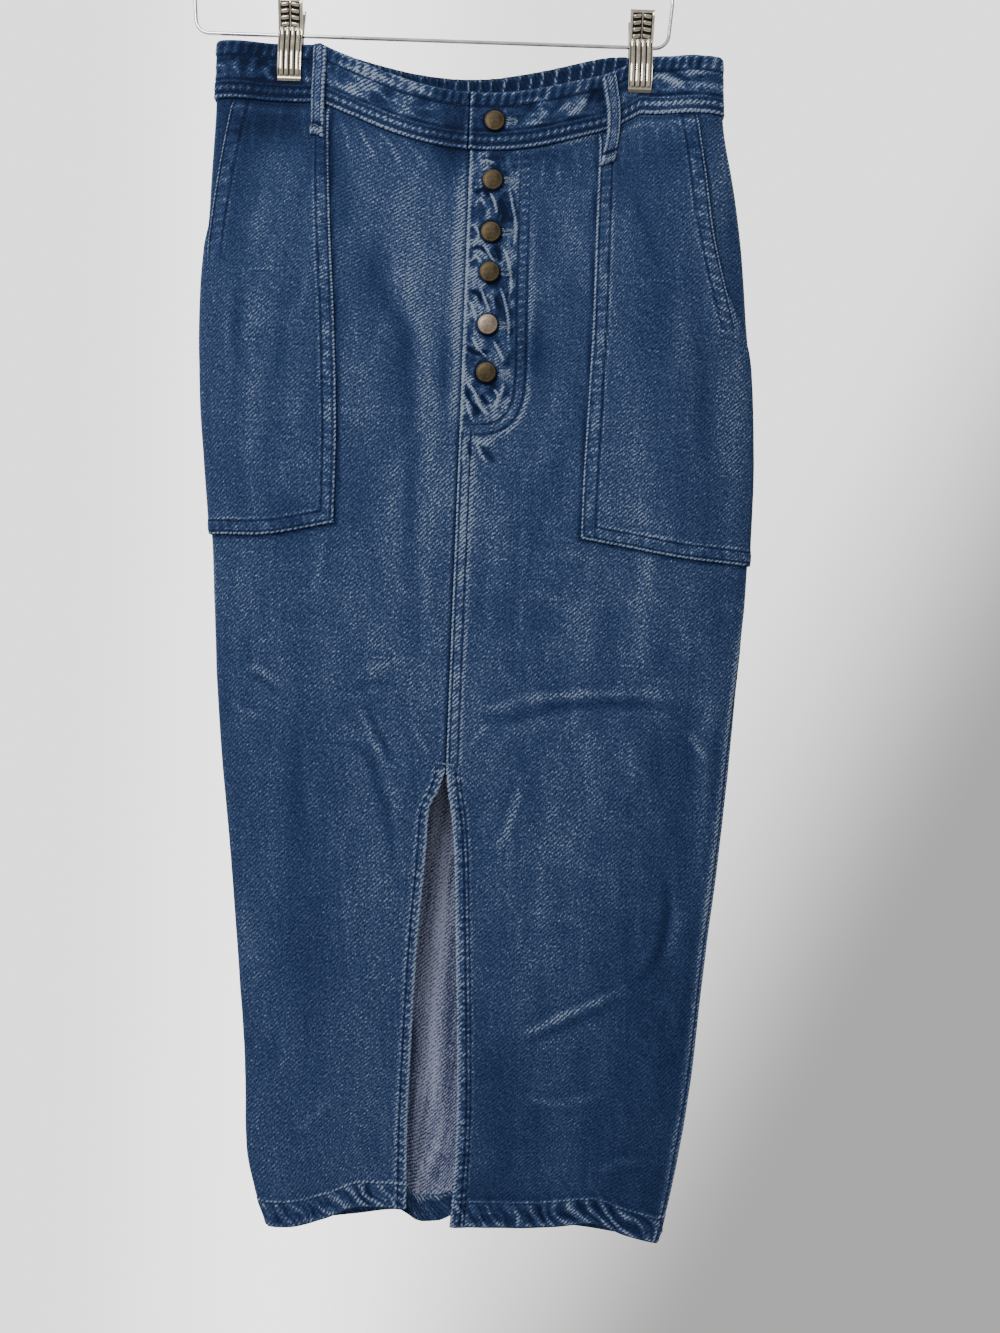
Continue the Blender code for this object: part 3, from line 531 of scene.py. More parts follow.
def crease(x, drop, creases):
    """The height of a list of creases at each place."""
    height = np.zeros(np.broadcast(x, drop).shape)
    x, drop = (np.broadcast_to(part, height.shape) for part in (x, drop))
    for width, stands_out, *path in creases:
        points = curve(path)
        low = points.min(axis=0) - 3 * width
        high = points.max(axis=0) + 3 * width
        near = (x > low[0]) & (x < high[0]) & (drop > low[1]) & (drop < high[1])
        if not near.any():
            continue
        at = np.stack([x[near], drop[near]], axis=1)
        closest = np.full(len(at), np.inf)
        along = np.zeros(len(at))
        for k, (start, step) in enumerate(zip(points, np.diff(points, axis=0))):
            t = np.clip((at - start) @ step / (step @ step), 0, 1)
            away = np.hypot(*(at - start - t[:, None] * step).T)
            along = np.where(away < closest, (k + t) / (len(points) - 1), along)
            closest = np.minimum(away, closest)
        fade = ramp(along, -0.02, 0.3) * (1 - ramp(along, 0.7, 1.02))
        height[near] += stands_out * fade * gauss(closest, width)
    return height


def rungs(along, across, pitch, seed, lean=0.25):
    """Puckers across a seam, -1 to 1: narrow ridges an uneven pitch apart."""
    wander = noise(along / (2.5 * pitch), 0.5, seed)
    strength = 0.65 + 0.35 * noise(along / (1.2 * pitch), 5.5, seed)
    phase = along / pitch + 0.45 * wander + lean * across / pitch
    return strength * (1 - 2 * np.abs(np.sin(np.pi * phase)) ** 1.2)


def grooves(into, rows, width=0.75):
    """The grooves that rows of stitches press into the cloth."""
    return stripes(into, *((row, width, -0.45) for row in rows))


def strip(into, along, width, rows, pitch, seed, raised, lip=0.8, rung=0.05):
    """Height and wear of a folded edge that is stitched down, by the distance into
    the cloth from its edge. The lip is a pale ridge along the edge."""
    inside = window(into, lip, width - 0.3, 0.9)
    ladder = rungs(along, into, pitch, seed) * inside
    blots = noise(along / 6, into / 5, seed + 4) * inside
    ragged = 0.75 + 0.25 * noise(along / 9, 2.5, seed + 3)
    height = raised * (1 - ramp(into, width - 1.0, width + 1.2)) + grooves(into, rows)
    height += 3.3 * rung * ladder - 0.9 * gauss(into, 0.7)
    wear_and_shade = rung * ladder + 0.10 * blots + stripes(into, *((row, 0.8, -0.30) for row in rows))
    wear_and_shade += ragged * stripes(into, (0.7, 0.8, 0.44), (width + 0.8, 1.1, 0.20))
    return height, wear_and_shade + 0.18 * ragged * window(into, 0.8, lip, 0.6)


def hem(along, up, seed):
    """Height and wear of the roped hem, by the distance up from its edge."""
    wavy = along + 7.0 * noise(along / 16, up / 12, seed)
    rope = rungs(wavy, up, 13.5, seed, lean=0.75) * (0.7 + 0.5 * noise(along / 17, up / 9, seed + 9))
    fine = rungs(wavy, up, 5.2, seed + 5, lean=0.5)
    inside = window(up, 1.5, HEM_HEIGHT - 1.5, 1.5)
    above = gauss(np.maximum(up - HEM_HEIGHT, 0), 6) * ramp(up, HEM_HEIGHT - 1, HEM_HEIGHT + 1)
    height = 0.9 * (1 - ramp(up, HEM_HEIGHT - 1.2, HEM_HEIGHT + 1.4)) - 1.3 * gauss(up, 1.3)
    height += (1.0 * rope + 0.25 * fine) * inside + 0.3 * rope * above + grooves(up, (HEM_ROW,))
    ragged = 0.6 + 0.4 * noise(along / 14, 3.5, seed + 7)
    cells = crumple(along / 9, up / 8, seed + 11)
    wear_and_shade = (0.07 * rope + 0.05 * fine + 0.14 * cells) * inside
    wear_and_shade -= 0.05 * (1 - ramp(up, HEM_HEIGHT - 3, HEM_HEIGHT))
    return height, wear_and_shade + ragged * stripes(up, (HEM_HEIGHT + 0.3, 1.2, 0.26), (1.5, 1.4, 0.12))


def drape(x, drop, folds, sizes, seed):
    """Height and wear of the swells and crumples that all panels have, on top of their
    folds. The sizes are the width and height of the wide swells and of the narrow ones."""
    wide, tall, narrow, short = sizes
    crumpled = crumple(x / 24, drop / 34, seed + 2)
    height = folds + 1.1 * noise(x / wide, drop / tall, seed) + 0.16 * crumpled
    height += 0.35 * noise(x / narrow, drop / short, seed + 1)
    return height, 0.02 * crumpled + 0.035 * noise(x / 22, drop / 70, seed + 3)


def to_side(x, drop):
    """How far out a place is, from 0 at the tube's middle to 1 at its side."""
    middle, half = outline(drop)
    return np.abs(x - middle) / half


def drape_front(x, drop):
    """What all the pieces of the front share: their folds, their fade, and painted shade
    under the waistband and towards the sides.
    """
    folds = crease(x, drop, FRONT_CREASES)
    height, wear_and_shade = drape(x, drop, 0.4 * folds, (55, 110, 20, 46), 11)
    wear_and_shade += 0.06 * gauss(x + 40, 44) * gauss(drop - 190, 120) + 0.03 * folds
    # Painted shade towards the sides, where the tube turns away.
    wear_and_shade -= 0.02 * ramp(to_side(x, drop), 0.84, 1.0)
    # The listed patches of fade and painted shade.
    for fade_x, fade_drop, wide, tall, paler in FADES_AND_SHADE:
        wear_and_shade += paler * gauss(x - fade_x, wide) * gauss(drop - fade_drop, tall)
    # A painted shadow under the waistband's lower edge.
    below = drop - BAND_HEIGHT - sag(x, *FRONT_SAG)
    return height, wear_and_shade + stripes(below, (0, 1.9, -0.32), (0, 9, -0.10))


def drape_back(x, drop):
    """The folds and the fade of the back, with painted shade under the waistband and
    towards its sides.
    """
    folds = 0.7 * crease(x, drop, BACK_CREASES) - 0.8 * crease(x, drop, SLIT_CREASES)
    height, wear_and_shade = drape(x, drop, folds, (60, 120, 22, 50), 21)
    wear_and_shade += 0.05 * gauss(x - 10, 90) * gauss(drop - 190, 120)
    # Painted shade towards the sides, where the tube turns away.
    wear_and_shade -= 0.06 * ramp(to_side(x, drop), 0.85, 1.0)
    # A painted shadow under the waistband's lower edge.
    below = drop - BAND_HEIGHT - sag(x, *BACK_SAG)
    return height, wear_and_shade + stripes(below, (0, 2, -0.25), (0, 10, -0.06))


def pocket_edges(side, x, drop):
    """How far a place lies inside a pocket's inner edge, its foot and its opening."""
    shape = POCKETS[side]
    inner = INWARD[side] * (read(shape["inner"], drop, "x") - x)
    opening = INWARD[side] * (x - read(shape["opening"], drop, "x"))
    return inner, read(shape["foot"], x, "drop") - drop, opening


def beside_pocket(side, x, drop):
    """1 just outside a pocket's edge, where a painted shadow line lies, and how far a
    place is out past the pocket's slanted opening."""
    inner, foot, opening = pocket_edges(side, x, drop)
    far_inside = -99.0
    past = np.where(drop < POCKETS[side]["opening"]["drop"][-1], -opening, far_inside)
    out = np.maximum(np.maximum(-inner, -foot), past)
    return gauss(out - 1.0, 1.4), past


def tucked(run):
    """A panel's top goes in under the waistband."""
    return -TUCK * (1 - ramp(run, BAND_HEIGHT - 2.5, BAND_HEIGHT + 1.5))


def from_seam(angle, run, side):
    """How far round the side a place is from a side seam."""
    away = np.abs((angle - side_seam(side, run) + math.pi) % (2 * math.pi) - math.pi)
    return np.degrees(away) * SIDE_DEGREE


def seam_roll(angle, run, *sides):
    """Height of the edges that turn in at a piece's side seams, and the pale band beside
    each, which is partly wear and partly a painted highlight on the rolled edge.
    """
    away = [from_seam(angle, run, side) for side in sides]
    height = sum(-0.9 * gauss(distance, 1.0) for distance in away)
    # A pale band beside each seam: worn, and a painted highlight on the roll.
    return height, sum(0.20 * gauss(distance - 2.2, 2.2) for distance in away)


def fly(x, drop, into):
    """Height and wear of the puckered fly and its stitched curve, with painted shade in
    the puckers' troughs and painted shadow and light round the buttons.
    """
    inside = window(into, 1.5, 38.5, 2.5) * window(drop, FLY_TOP, FLY_END - 8, 5)
    puckers = crease(x, drop, FLY_CREASES)
    blots = np.clip(2.2 * noise(x / 6.5 + drop / 22, drop / 7.5, 35), -1, 1)
    height = 1.1 * puckers + 0.6 * inside * crumple(x / 6.0, drop / 7.0, 31)
    # The puckers' ridges are worn pale, and their troughs get painted shade.
    wear_and_shade = 0.34 * puckers + inside * (0.20 * blots - 0.03)
    for button_drop in BUTTON_DROPS:
        height -= 0.5 * gauss(np.hypot(x - BUTTON_X, drop - button_drop), 10)
    # A painted shadow round each button's rim, painted shade below and to the right of it, and painted light
    # to its left.
    for button_drop in BUTTON_DROPS[1:]:
        wear_and_shade -= 0.4 * gauss(np.hypot(x - BUTTON_X, drop - button_drop - 0.6) - 8.2, 1.1)
        wear_and_shade -= 0.20 * gauss(x - 26, 6) * gauss(drop - button_drop - 11, 6)
        wear_and_shade += 0.12 * gauss(x - 8, 5) * gauss(drop - button_drop, 8)
    for gap in (0.0, FLY_ROW_GAP):
        groove = crease(x, drop, [(0.8, 1.0, *offset(FLY_CURVE, gap)[::6])])
        height -= 0.5 * groove
        wear_and_shade -= 0.30 * groove
    pale = crease(x, drop, [(2.2, 1.0, *offset(FLY_CURVE, FLY_RIDGE_GAP)[::6])])
    ladder = rungs(drop, x, 6.5, 33) * window(x, 43.0, 47.8, 0.8) * window(drop, FLY_TOP, 262, 6)
    return height + 0.45 * pale + 0.3 * ladder, wear_and_shade + 0.08 * pale + 0.06 * ladder


def front_relief(side, angle, run):
    """Height and wear of a front panel, with painted shadows beside the pockets and along
    the edges that lie under the right panel, and painted shade past a pocket's opening.
    """
    x, _, drop = bare(angle, run)
    height, wear_and_shade = drape_front(x, drop)
    eased_in = crease(x, drop, EASE_CREASES)
    shadow, past = beside_pocket(side, x, drop)
    height += 0.4 * eased_in
    # Painted shadow just outside a pocket's edges, and painted shade on the side panel out past its opening.
    wear_and_shade += 0.05 * eased_in - 0.30 * shadow - 0.06 * ramp(past, 0, 5)
    into = INWARD[side] * (read(CENTRE_FRONT, drop, side) - x)
    slit = ramp(drop, SLIT_TOP - 4, SLIT_TOP + 6)
    seamed = window(drop, FLY_END, SLIT_TOP, 4)
    if side == "right":
        on_fly = 1 - ramp(drop, FLY_END - 3, FLY_END + 5)
        reach = 1 - ramp(drop, FLY_END + 20, FLY_END + 34)
        puckered, puckered_wear_and_shade = fly(x, drop, into)
        height += puckered * reach + 0.9 * on_fly * (1 - ramp(into, 1, 5) - gauss(into, 0.7))
        wear_and_shade += puckered_wear_and_shade * reach + 0.38 * on_fly * gauss(into - 1.0, 1.2)
        folded, folded_wear = strip(into, drop, 10.4, SEAM_ROWS, 7.5, 41, 0.8)
        height += seamed * folded
        wear_and_shade += seamed * (folded_wear + 0.06 * window(into, 0, 14, 2))
    else:
        height -= 0.7 * (1 - slit) * (1 - ramp(into, 0.5, 4))
        hatched = gauss(into - 4.5, 5.0) * window(drop, 96, 290, 20)
        # A painted shadow along the left panel's edge, under the right panel's fly.
        wear_and_shade += (1 - slit) * (0.17 * hatched - 0.25 * gauss(into, 1.0))
        # A painted shadow along the left panel's edge, under the lapped centre seam.
        wear_and_shade -= 0.16 * seamed * gauss(into, 1.6)
    width, rows, lip, seed = SLIT_EDGES[side]
    folded, folded_wear = strip(into, drop, width, rows, 6.2, seed, 0.9, lip, rung=-0.13)
    turned, turned_wear = hem(x, HEM_RUN - run, seed + 9)
    roll, roll_wear_and_highlight = seam_roll(angle, run, side)
    height += slit * folded + turned + roll + tucked(run)
    return height, wear_and_shade + slit * folded_wear + turned_wear + roll_wear_and_highlight


def back_relief(angle, run):
    """Height and wear of the back panel, with painted shade under the waistband and
    towards its sides.
    """
    x, _, drop = bare(angle, run)
    height, wear_and_shade = drape_back(x, drop)
    turned, turned_wear = hem(x, HEM_RUN - run, 61)
    puckers = rungs(x, run, 9.5, 62, lean=0.05) * gauss(np.maximum(run - 46, 0), 26)
    roll, roll_wear_and_highlight = seam_roll(angle, run, *SIDES)
    height += turned + tucked(run) + 0.7 * puckers + roll
    return height, wear_and_shade + turned_wear + 0.06 * puckers + roll_wear_and_highlight


def back_inside(angle, run):
    """Tone of the back's inner face: painted light and shade on its folds and in the slit,
    with a painted shadow line along the slit's left edge, and the hem's fold is pale.
    """
    x, _, drop = bare(angle, run)
    up = HEM_RUN - run
    gap = x - read(CENTRE_FRONT, drop, "left")
    # Painted highlights and shade on the folds, and painted light near the slit's top.
    wear_and_shade = 0.5 + 0.30 * crease(x, drop, SLIT_CREASES) + 0.16 * gauss(drop - 600, 40)
    # A painted shadow line along the left slit edge, and painted light on the slit's left part beside it.
    wear_and_shade -= 0.40 * gauss(gap, 1.8) * ramp(drop, 690, 770)
    wear_and_shade += 0.16 * gauss(gap - 8, 5) * ramp(drop, 620, 700)
    turned = -0.12 + 0.2 * rungs(x, up, 13.5, 65, lean=0.75) + 0.5 * gauss(up - HEM_HEIGHT + 2, 2.0)
    return wear_and_shade + turned * (1 - ramp(up, HEM_HEIGHT - 1, HEM_HEIGHT + 1))


def pocket_relief(side, angle, run):
    """Height and wear of a patch pocket, which gapes a little at its opening. It shares the
    front's fade and painted shade.
    """
    x, _, drop = bare(angle, run)
    height, wear_and_shade = drape_front(x, drop)
    inner, foot, opening = pocket_edges(side, x, drop)
    end = POCKETS[side]["opening"]["drop"][-1]
    along = np.where(inner < foot, drop, x)
    folded, folded_wear = strip(np.minimum(inner, foot), along, 11.6, POCKET_ROWS, 7.0, 71, 0.55)
    lapped, lapped_wear = strip(opening, drop, 12.6, OPENING_ROWS, 8.0, 72, 0.5)
    lapping = 1 - ramp(drop, end - 10, end + 25)
    gape = 1.5 * (1 - ramp(opening, 0, 34)) * (1 - ramp(drop, end - 30, end + 20))
    lift = (POCKET_OUT + gape + 0.8) * ramp(run, BAND_HEIGHT - 1.5, BAND_HEIGHT + 10) - 0.8
    sewn_in = 0.9 * ramp(drop, end, end + 40) * gauss(from_seam(angle, run, side), 1.0)
    puffed = 0.5 * window(inner, 12, 70, 8) * window(foot, 12, 250, 12)
    height += 0.4 * crease(x, drop, EASE_CREASES) + folded + lapping * lapped
    return height + lift + puffed - sewn_in, wear_and_shade + folded_wear + lapping * lapped_wear


def band_relief(side, angle, run):
    """Height and wear of a front half of the waistband, with painted shadows above its
    lower strip's fold and round the top button, and painted shade on the tongue under
    the right half.
    """
    x, _, drop = bare(angle, run)
    folds = crease(x, drop, BAND_CREASES)
    crumpled = crumple(x / 11, run / 8, 81) * window(run, 12.5, 31, 2)
    upper = rungs(x, run, 7.0, 82) * window(run, 1.4, 10.6, 1.0)
    lower = rungs(x, run, 5.4, 83) * window(run, 34.6, 39.8, 0.9)
    height = BAND_OUT + folds + 0.4 * crumpled + 0.42 * upper + 0.38 * lower
    height += 0.75 * ramp(run, 30.8, 33.2) + 0.35 * (1 - ramp(run, 10.5, 12.5))
    height += grooves(run, BAND_ROWS, 0.8) + stripes(run, (0, 0.9, -1.0), (BAND_HEIGHT, 0.8, -0.9))
    ragged = 0.7 + 0.3 * noise(x / 8, 4.5, 84)
    blots = np.clip(1.8 * noise(x / 9 + run / 14, run / 8, 85), -1, 1)
    wear_and_shade = 0.18 * upper + 0.16 * lower + 0.12 * blots * window(run, 2, 31, 2) - 0.08
    wear_and_shade += 0.24 * folds + 0.17 * crumpled + 0.10 * window(run, 35.6, 39.0, 0.6)
    wear_and_shade += stripes(x, (-62, 40, 0.09), (-156, 36, -0.30), (-10, 20, -0.28), (50, 44, -0.08))
    wear_and_shade += 0.20 * gauss(x - 160, 24) * ramp(run, 31, 33)
    # Dark along the top row of stitches, and a painted shadow above the lower strip's fold.
    wear_and_shade += stripes(run, (BAND_ROWS[0], 1.0, -0.26), (30.2, 1.2, -0.28))
    wear_and_shade += stripes(run, (33.9, 1.4, -0.24), (40.7, 1.4, -0.24))
    wear_and_shade += ragged * stripes(run, (1, 1, 0.22), (31.8, 0.7, 0.34), (BAND_HEIGHT - 0.9, 1, 0.42))
    if side == "right":
        into = x - BAND_END
        height += 0.7 * (1 - ramp(into, 2, 6)) - 0.9 * gauss(into, 0.7)
        wear_and_shade += 0.42 * gauss(into - 0.9, 0.9)
        # A painted shadow round the top button's rim.
        wear_and_shade -= 0.4 * gauss(np.hypot(x - BUTTON_X, drop - BUTTON_DROPS[0] - 0.6) - 8.6, 1.1)
        hole = np.hypot(x - BUTTON_X - 9, (drop - BUTTON_DROPS[0] - 1) * 1.6)
        height += stripes(hole, (5, 1.2, 0.25), (5, 1.6, 0.25))
    else:
        under = ramp(x, -0.8, 0.9)
        height = height * (1 - under) - 2.2 * under
        # Painted shade where the tongue lies under the right half.
        wear_and_shade -= 0.2 * under
    roll, roll_wear_and_highlight = seam_roll(angle, run, side)
    return height + roll, wear_and_shade + roll_wear_and_highlight


def gathered(x, run):
    """How near a place is to one of the elastic waistband's narrow creases, 0 to 1."""
    bow = 0.16 * np.sin(math.pi * run / BAND_HEIGHT)
    slant = 0.30 * noise(x / 13, 7.5, 97) * (run / BAND_HEIGHT - 0.5)
    phase = x / GATHER_PITCH + 0.85 * noise(x / 19, 3.5, 91) + bow + slant
    away = np.abs(phase - np.round(phase)) * GATHER_PITCH
    return gauss(away, 1.1 + 0.35 * noise(x / 15, run / 11, 94))


def elastic_relief(angle, run):
    """Height and wear of the waistband's gathered back half, with painted shade in its
    gathers.
    """
    x, _, drop = bare(angle, run)
    in_fold = gathered(x, run)
    shallow = (0.75 + 0.25 * noise(x / 12, run / 18, 92)) * (1 - pinch(x, drop))
    height = BAND_OUT - 0.3 + shallow * (1.9 - 2.6 * in_fold) + grooves(run, ELASTIC_ROWS, 1.0)
    height += stripes(run, (0, 1.0, -1.0), (BAND_HEIGHT, 0.9, -0.8))
    # Painted shade in the gathers' hollows, and paler between them.
    wear_and_shade = 0.16 * (1 - in_fold) - 0.2 * in_fold - 0.05
    wear_and_shade += stripes(run, (1, 1.2, 0.3), (BAND_HEIGHT - 1, 1.2, 0.3))
    roll, roll_wear_and_highlight = seam_roll(angle, run, *SIDES)
    return height + roll, wear_and_shade + roll_wear_and_highlight


def elastic_inside(angle, run):
    """Tone of the elastic waistband's inner face: painted highlights on its creases over
    painted shade in its hollows, and a pale top edge.
    """
    x, _, _ = bare(angle, run)
    uneven = 0.72 + 0.22 * noise(x / 10, run / 9, 98)
    pale = uneven * gathered(x, run) ** 0.9 + 0.45 * gauss(run - 0.8, 1.0)
    return 0.02 + pale + 0.08 * noise(x / 6, run / 6, 93)


def underlay_relief(angle, run):
    """Height and wear of the strip behind the fly."""
    x, _, drop = bare(angle, run)
    height, _ = drape_front(x, drop)
    return height - 2.6, np.full_like(x, -0.08)


def loop_middle(loop, along):
    """The x of a belt loop's centre line."""
    return loop.x + loop.lean * (along - 0.5) + loop.bow * np.sin(math.pi * along)


def loop_relief(loop, angle, run):
    """Height and wear of a belt loop, whose foot is folded under."""
    along = (run - loop.top) / (loop.foot - loop.top)
    x, _, _ = bare(angle, run)
    across = (x - loop_middle(loop, along)) / (LOOP_WIDTH / 2)
    rim = np.abs(across)
    down = LOOP_LENGTH * along
    height = read(LOOP_STATIONS, along, "outer") - 1.4 * ramp(rim, 0.8, 1.02)
    height += stripes(rim, (0.7, 0.14, 0.25), (0.52, 0.1, -0.25)) + stripes(down, (61.25, 1.5, -1.0))
    height += 0.15 * noise(run / 9, across, 95)
    wear_and_shade = 0.05 + stripes(rim, (0.88, 0.12, 0.27), (0.52, 0.12, -0.16))
    wear_and_shade += stripes(down, (60.9, 2.0, -0.25), (69.65, 1.2, 0.24))
    return height, wear_and_shade + 0.05 * noise(run / 7, across * 2, 96)


# ---------------------------------------------------------------- meshes


def blur(field, cells):
    """A box blur run twice, cells (rows, columns) each way."""
    for axis, reach in enumerate(cells):
        size = 2 * reach + 1
        for _ in range(2):
            pads = [(0, 0), (0, 0)]
            pads[axis] = (reach + 1, reach)
            total = np.cumsum(np.pad(field, pads, mode="edge"), axis=axis)
            count = total.shape[axis]
            high = np.take(total, range(size, count), axis=axis)
            field = (high - np.take(total, range(count - size), axis=axis)) / size
    return field


def lowest(field, reach):
    """The least value within reach cells of each."""
    padded = np.pad(field, reach, mode="edge")
    least = field
    rows, cols = field.shape
    for i in range(2 * reach + 1):
        for j in range(2 * reach + 1):
            least = np.minimum(least, padded[i : i + rows, j : j + cols])
    return least


def new_object(name, points, faces, materials, face_materials=None):
    mesh = bpy.data.meshes.new(name)
    mesh.from_pydata(points.tolist(), [], faces)
    for material in materials:
        mesh.materials.append(material)
    if face_materials is not None:
        mesh.polygons.foreach_set("material_index", face_materials)
    mesh.shade_smooth()
    mesh.set_sharp_from_angle(angle=math.radians(55))
    obj = bpy.data.objects.new(name, mesh)
    bpy.context.scene.collection.objects.link(obj)
    return obj


# A tone for the finishes to read: on cloth its wear with painted shade and painted highlights, on a stitch a
# random tone, on metal its grime.
def give_wear_and_shade(obj, values):
    layer = obj.data.attributes.new("wear_and_shade", "FLOAT", "POINT")
    layer.data.foreach_set("value", np.asarray(values, np.float32))


def give_weave(obj, places):
    """The weave's map: each point's place on the flat cloth, in metres."""
    layer = obj.data.uv_layers.new(name="weave")
    corners = np.empty(len(obj.data.loops), np.int64)
    obj.data.loops.foreach_get("vertex_index", corners)
    layer.data.foreach_set("uv", np.asarray(places, np.float32)[corners].ravel())


def grid_faces(at):
    """Four-sided faces between the neighbours in a grid of point numbers."""
    return np.stack([at[:-1, :-1], at[1:, :-1], at[1:, 1:], at[:-1, 1:]], axis=-1).reshape(-1, 4)


def rim_faces(outer, inner, step):
    """Faces that join a shell's outer edge to its inner edge."""
    sides = (
        (outer[0], inner[0]),
        (outer[:, -1], inner[:, -1]),
        (outer[-1, ::-1], inner[-1, ::-1]),
        (outer[::-1, 0], inner[::-1, 0]),
    )
    faces = []
    for out_edge, in_edge in sides:
        for k in range(len(in_edge) - 1):
            chunk = out_edge[k * step : (k + 1) * step + 1]
            faces.append([*map(int, chunk), int(in_edge[k + 1]), int(in_edge[k])])
    return faces


def closed_shell(outer, inner, step):
    """The points and faces of a closed shell between two grids of points. The inner one
    has every step-th row and column."""
    rows, cols = outer.shape[:2]
    outer_at = np.arange(rows * cols).reshape(rows, cols)
    inner_at = rows * cols + np.arange(inner[..., 0].size).reshape(inner.shape[:2])
    faces = grid_faces(outer_at).tolist() + grid_faces(inner_at)[:, ::-1].tolist()
    points = np.concatenate([outer.reshape(-1, 3), inner.reshape(-1, 3)])
    return points, faces + rim_faces(outer_at, inner_at, step)


def shell(name, angle, run, relief, thick, finish, wrong=None, inside=None, step=2):
    """A thin closed shell on a grid of places. Its inner face has every step-th row and
    column, with the wrong side's finish above the hem if one is given."""
    out, wear_and_shade = relief(angle, run)
    outer = tube(angle, run, out)
    cells = [np.median(np.linalg.norm(np.diff(outer, axis=k), axis=2)) / MM for k in (0, 1)]
    raised = out - blur(out, [max(1, round(2.2 / cell)) for cell in cells])
    swell = out - blur(out, [max(2, round(7 / cell)) for cell in cells])
    wear_and_shade = 0.5 + 1.3 * wear_and_shade + 0.50 * np.clip(raised, -0.7, 0.7) + 0.08 * np.clip(swell, -1.5, 1.5)
    behind = inside(angle, run) if inside else 0.5 - 0.25 * (wear_and_shade - 0.5)
    base = lowest(out, step) if step > 1 else out
    inner = tube(angle, run, base - thick)[::step, ::step]
    points, faces = closed_shell(outer, inner, step)
    slots = np.zeros(len(faces), np.int32)
    if wrong:
        lined = (run[::step, ::step] < HEM_RUN - HEM_HEIGHT)[:-1, :-1].ravel()
        first = (len(outer) - 1) * (outer.shape[1] - 1)
        slots[first : first + len(lined)] = lined
    obj = new_object(name, points, faces, [part for part in (finish, wrong) if part], slots)
    on_tube = tube(angle, run, np.zeros(out.shape))
    steps = np.linalg.norm(np.diff(on_tube, axis=1), axis=2)
    across = np.pad(np.cumsum(steps, axis=1), ((0, 0), (1, 0)))
    flat = np.stack([across, MM * run], axis=-1)
    give_weave(obj, np.concatenate([flat.reshape(-1, 2), flat[::step, ::step].reshape(-1, 2)]))
    give_wear_and_shade(obj, np.concatenate([wear_and_shade.ravel(), behind[::step, ::step].ravel()]))
    return obj


def odd(values):
    """The values with one more added in the middle, if their number is even."""
    values = np.asarray(values, float)
    if len(values) % 2:
        return values
    middle = len(values) // 2
    return np.insert(values, middle, (values[middle - 1] + values[middle]) / 2)


def spaced(start, end, step):
    return np.linspace(start, end, max(2, round(abs(end - start) / step)) + 1)


# How far from a piece's edge its first grid lines lie, and half the front's width.
EDGE = (0.0, 0.3, 0.8, 1.5, 2.4)
HALF_FRONT = 196
# Where the sides begin to turn, as a share of the half width.
PANEL_TURN = 0.955
BAND_TURN = 0.97


def fractions(fine_to, fine, coarse, side_step=1.7):
    """Shares of the way from the centre front to a side seam, close together near the
    centre, and even round the side."""
    turn = PANEL_TURN * HALF_FRONT
    across = [*EDGE, *spaced(EDGE[-1], fine_to, fine)[1:], *spaced(fine_to, turn, coarse)[1:]]
    angles = np.degrees(np.arcsin(np.array(across) / HALF_FRONT))
    return odd([*angles / 90, *spaced(angles[-1], 90, side_step)[1:] / 90])


def back_fractions(turn, step, side_step):
    """Shares of the way across the back, even in x, and even round its sides."""
    across = np.arcsin(spaced(-turn, turn, step))
    corner = spaced(-math.pi / 2, -np.arcsin(turn), math.radians(side_step))
    return odd(np.concatenate([corner[:-1], across, -corner[-2::-1]]) / math.pi + 0.5)


def panel_rows(fine_to, fine, coarse):
    """Rows down a panel, close together in the fly's stretch and at the hem's edge."""
    hem_top = HEM_RUN - HEM_HEIGHT - 6
    parts = ((49, fine_to, fine), (fine_to, hem_top, coarse), (hem_top, HEM_RUN - EDGE[-1], 1.5))
    rows = [*spaced(39, 49, 1.4), *np.concatenate([spaced(*part)[1:] for part in parts])]
    return odd(rows + [HEM_RUN - edge for edge in EDGE[-2::-1]])


def band_rows():
    rows = [*EDGE, *spaced(EDGE[-1], BAND_HEIGHT - EDGE[-1], 1.15)[1:-1]]
    return odd(rows + [BAND_HEIGHT - edge for edge in EDGE[::-1]])


def fan(start, end, share, run, mirrored=False):
    """The grid of (angle, run) places between two lines down the tube."""
    angle = start[:, None] + (end - start)[:, None] * share
    angle = angle[:, ::-1] if mirrored else angle
    return angle, np.repeat(run[:, None], len(share), axis=1)


def panel_cloth(run):
    """A panel's thickness: its hem is turned in."""
    return CLOTH * np.where(run > HEM_RUN - HEM_HEIGHT, 2, 1)


# How fine the front panels' grids are: how far down the close rows go and the steps of
# the close and wide rows, and the same for the columns. The right one has the fly.
PANEL_GRIDS = {
    "left": ((300, 2.0, 2.3), (14, 0.95, 2.7)),
    "right": ((302, 0.98, 2.4), (45, 0.88, 2.9)),
}


def front_panel(side, denim, wrong):
    rows, columns = PANEL_GRIDS[side]
    run = panel_rows(*rows)
    share = fractions(*columns)
    centre = angle_at(lambda drop: read(CENTRE_FRONT, drop, side), run)
    angle, run = fan(centre, side_seam(side, run), share, run, side == "left")
    relief = partial(front_relief, side)
    return shell(f"cloth_front_{side}", angle, run, relief, panel_cloth(run), denim, wrong)


def back_panel(denim, wrong):
    run = panel_rows(300, 2.6, 2.6)
    angle, run = fan(*back_sides(run), back_fractions(PANEL_TURN, 3.0 / 200, 1.7), run)
    thick = panel_cloth(run)
    return shell("cloth_back", angle, run, back_relief, thick, denim, wrong, back_inside)


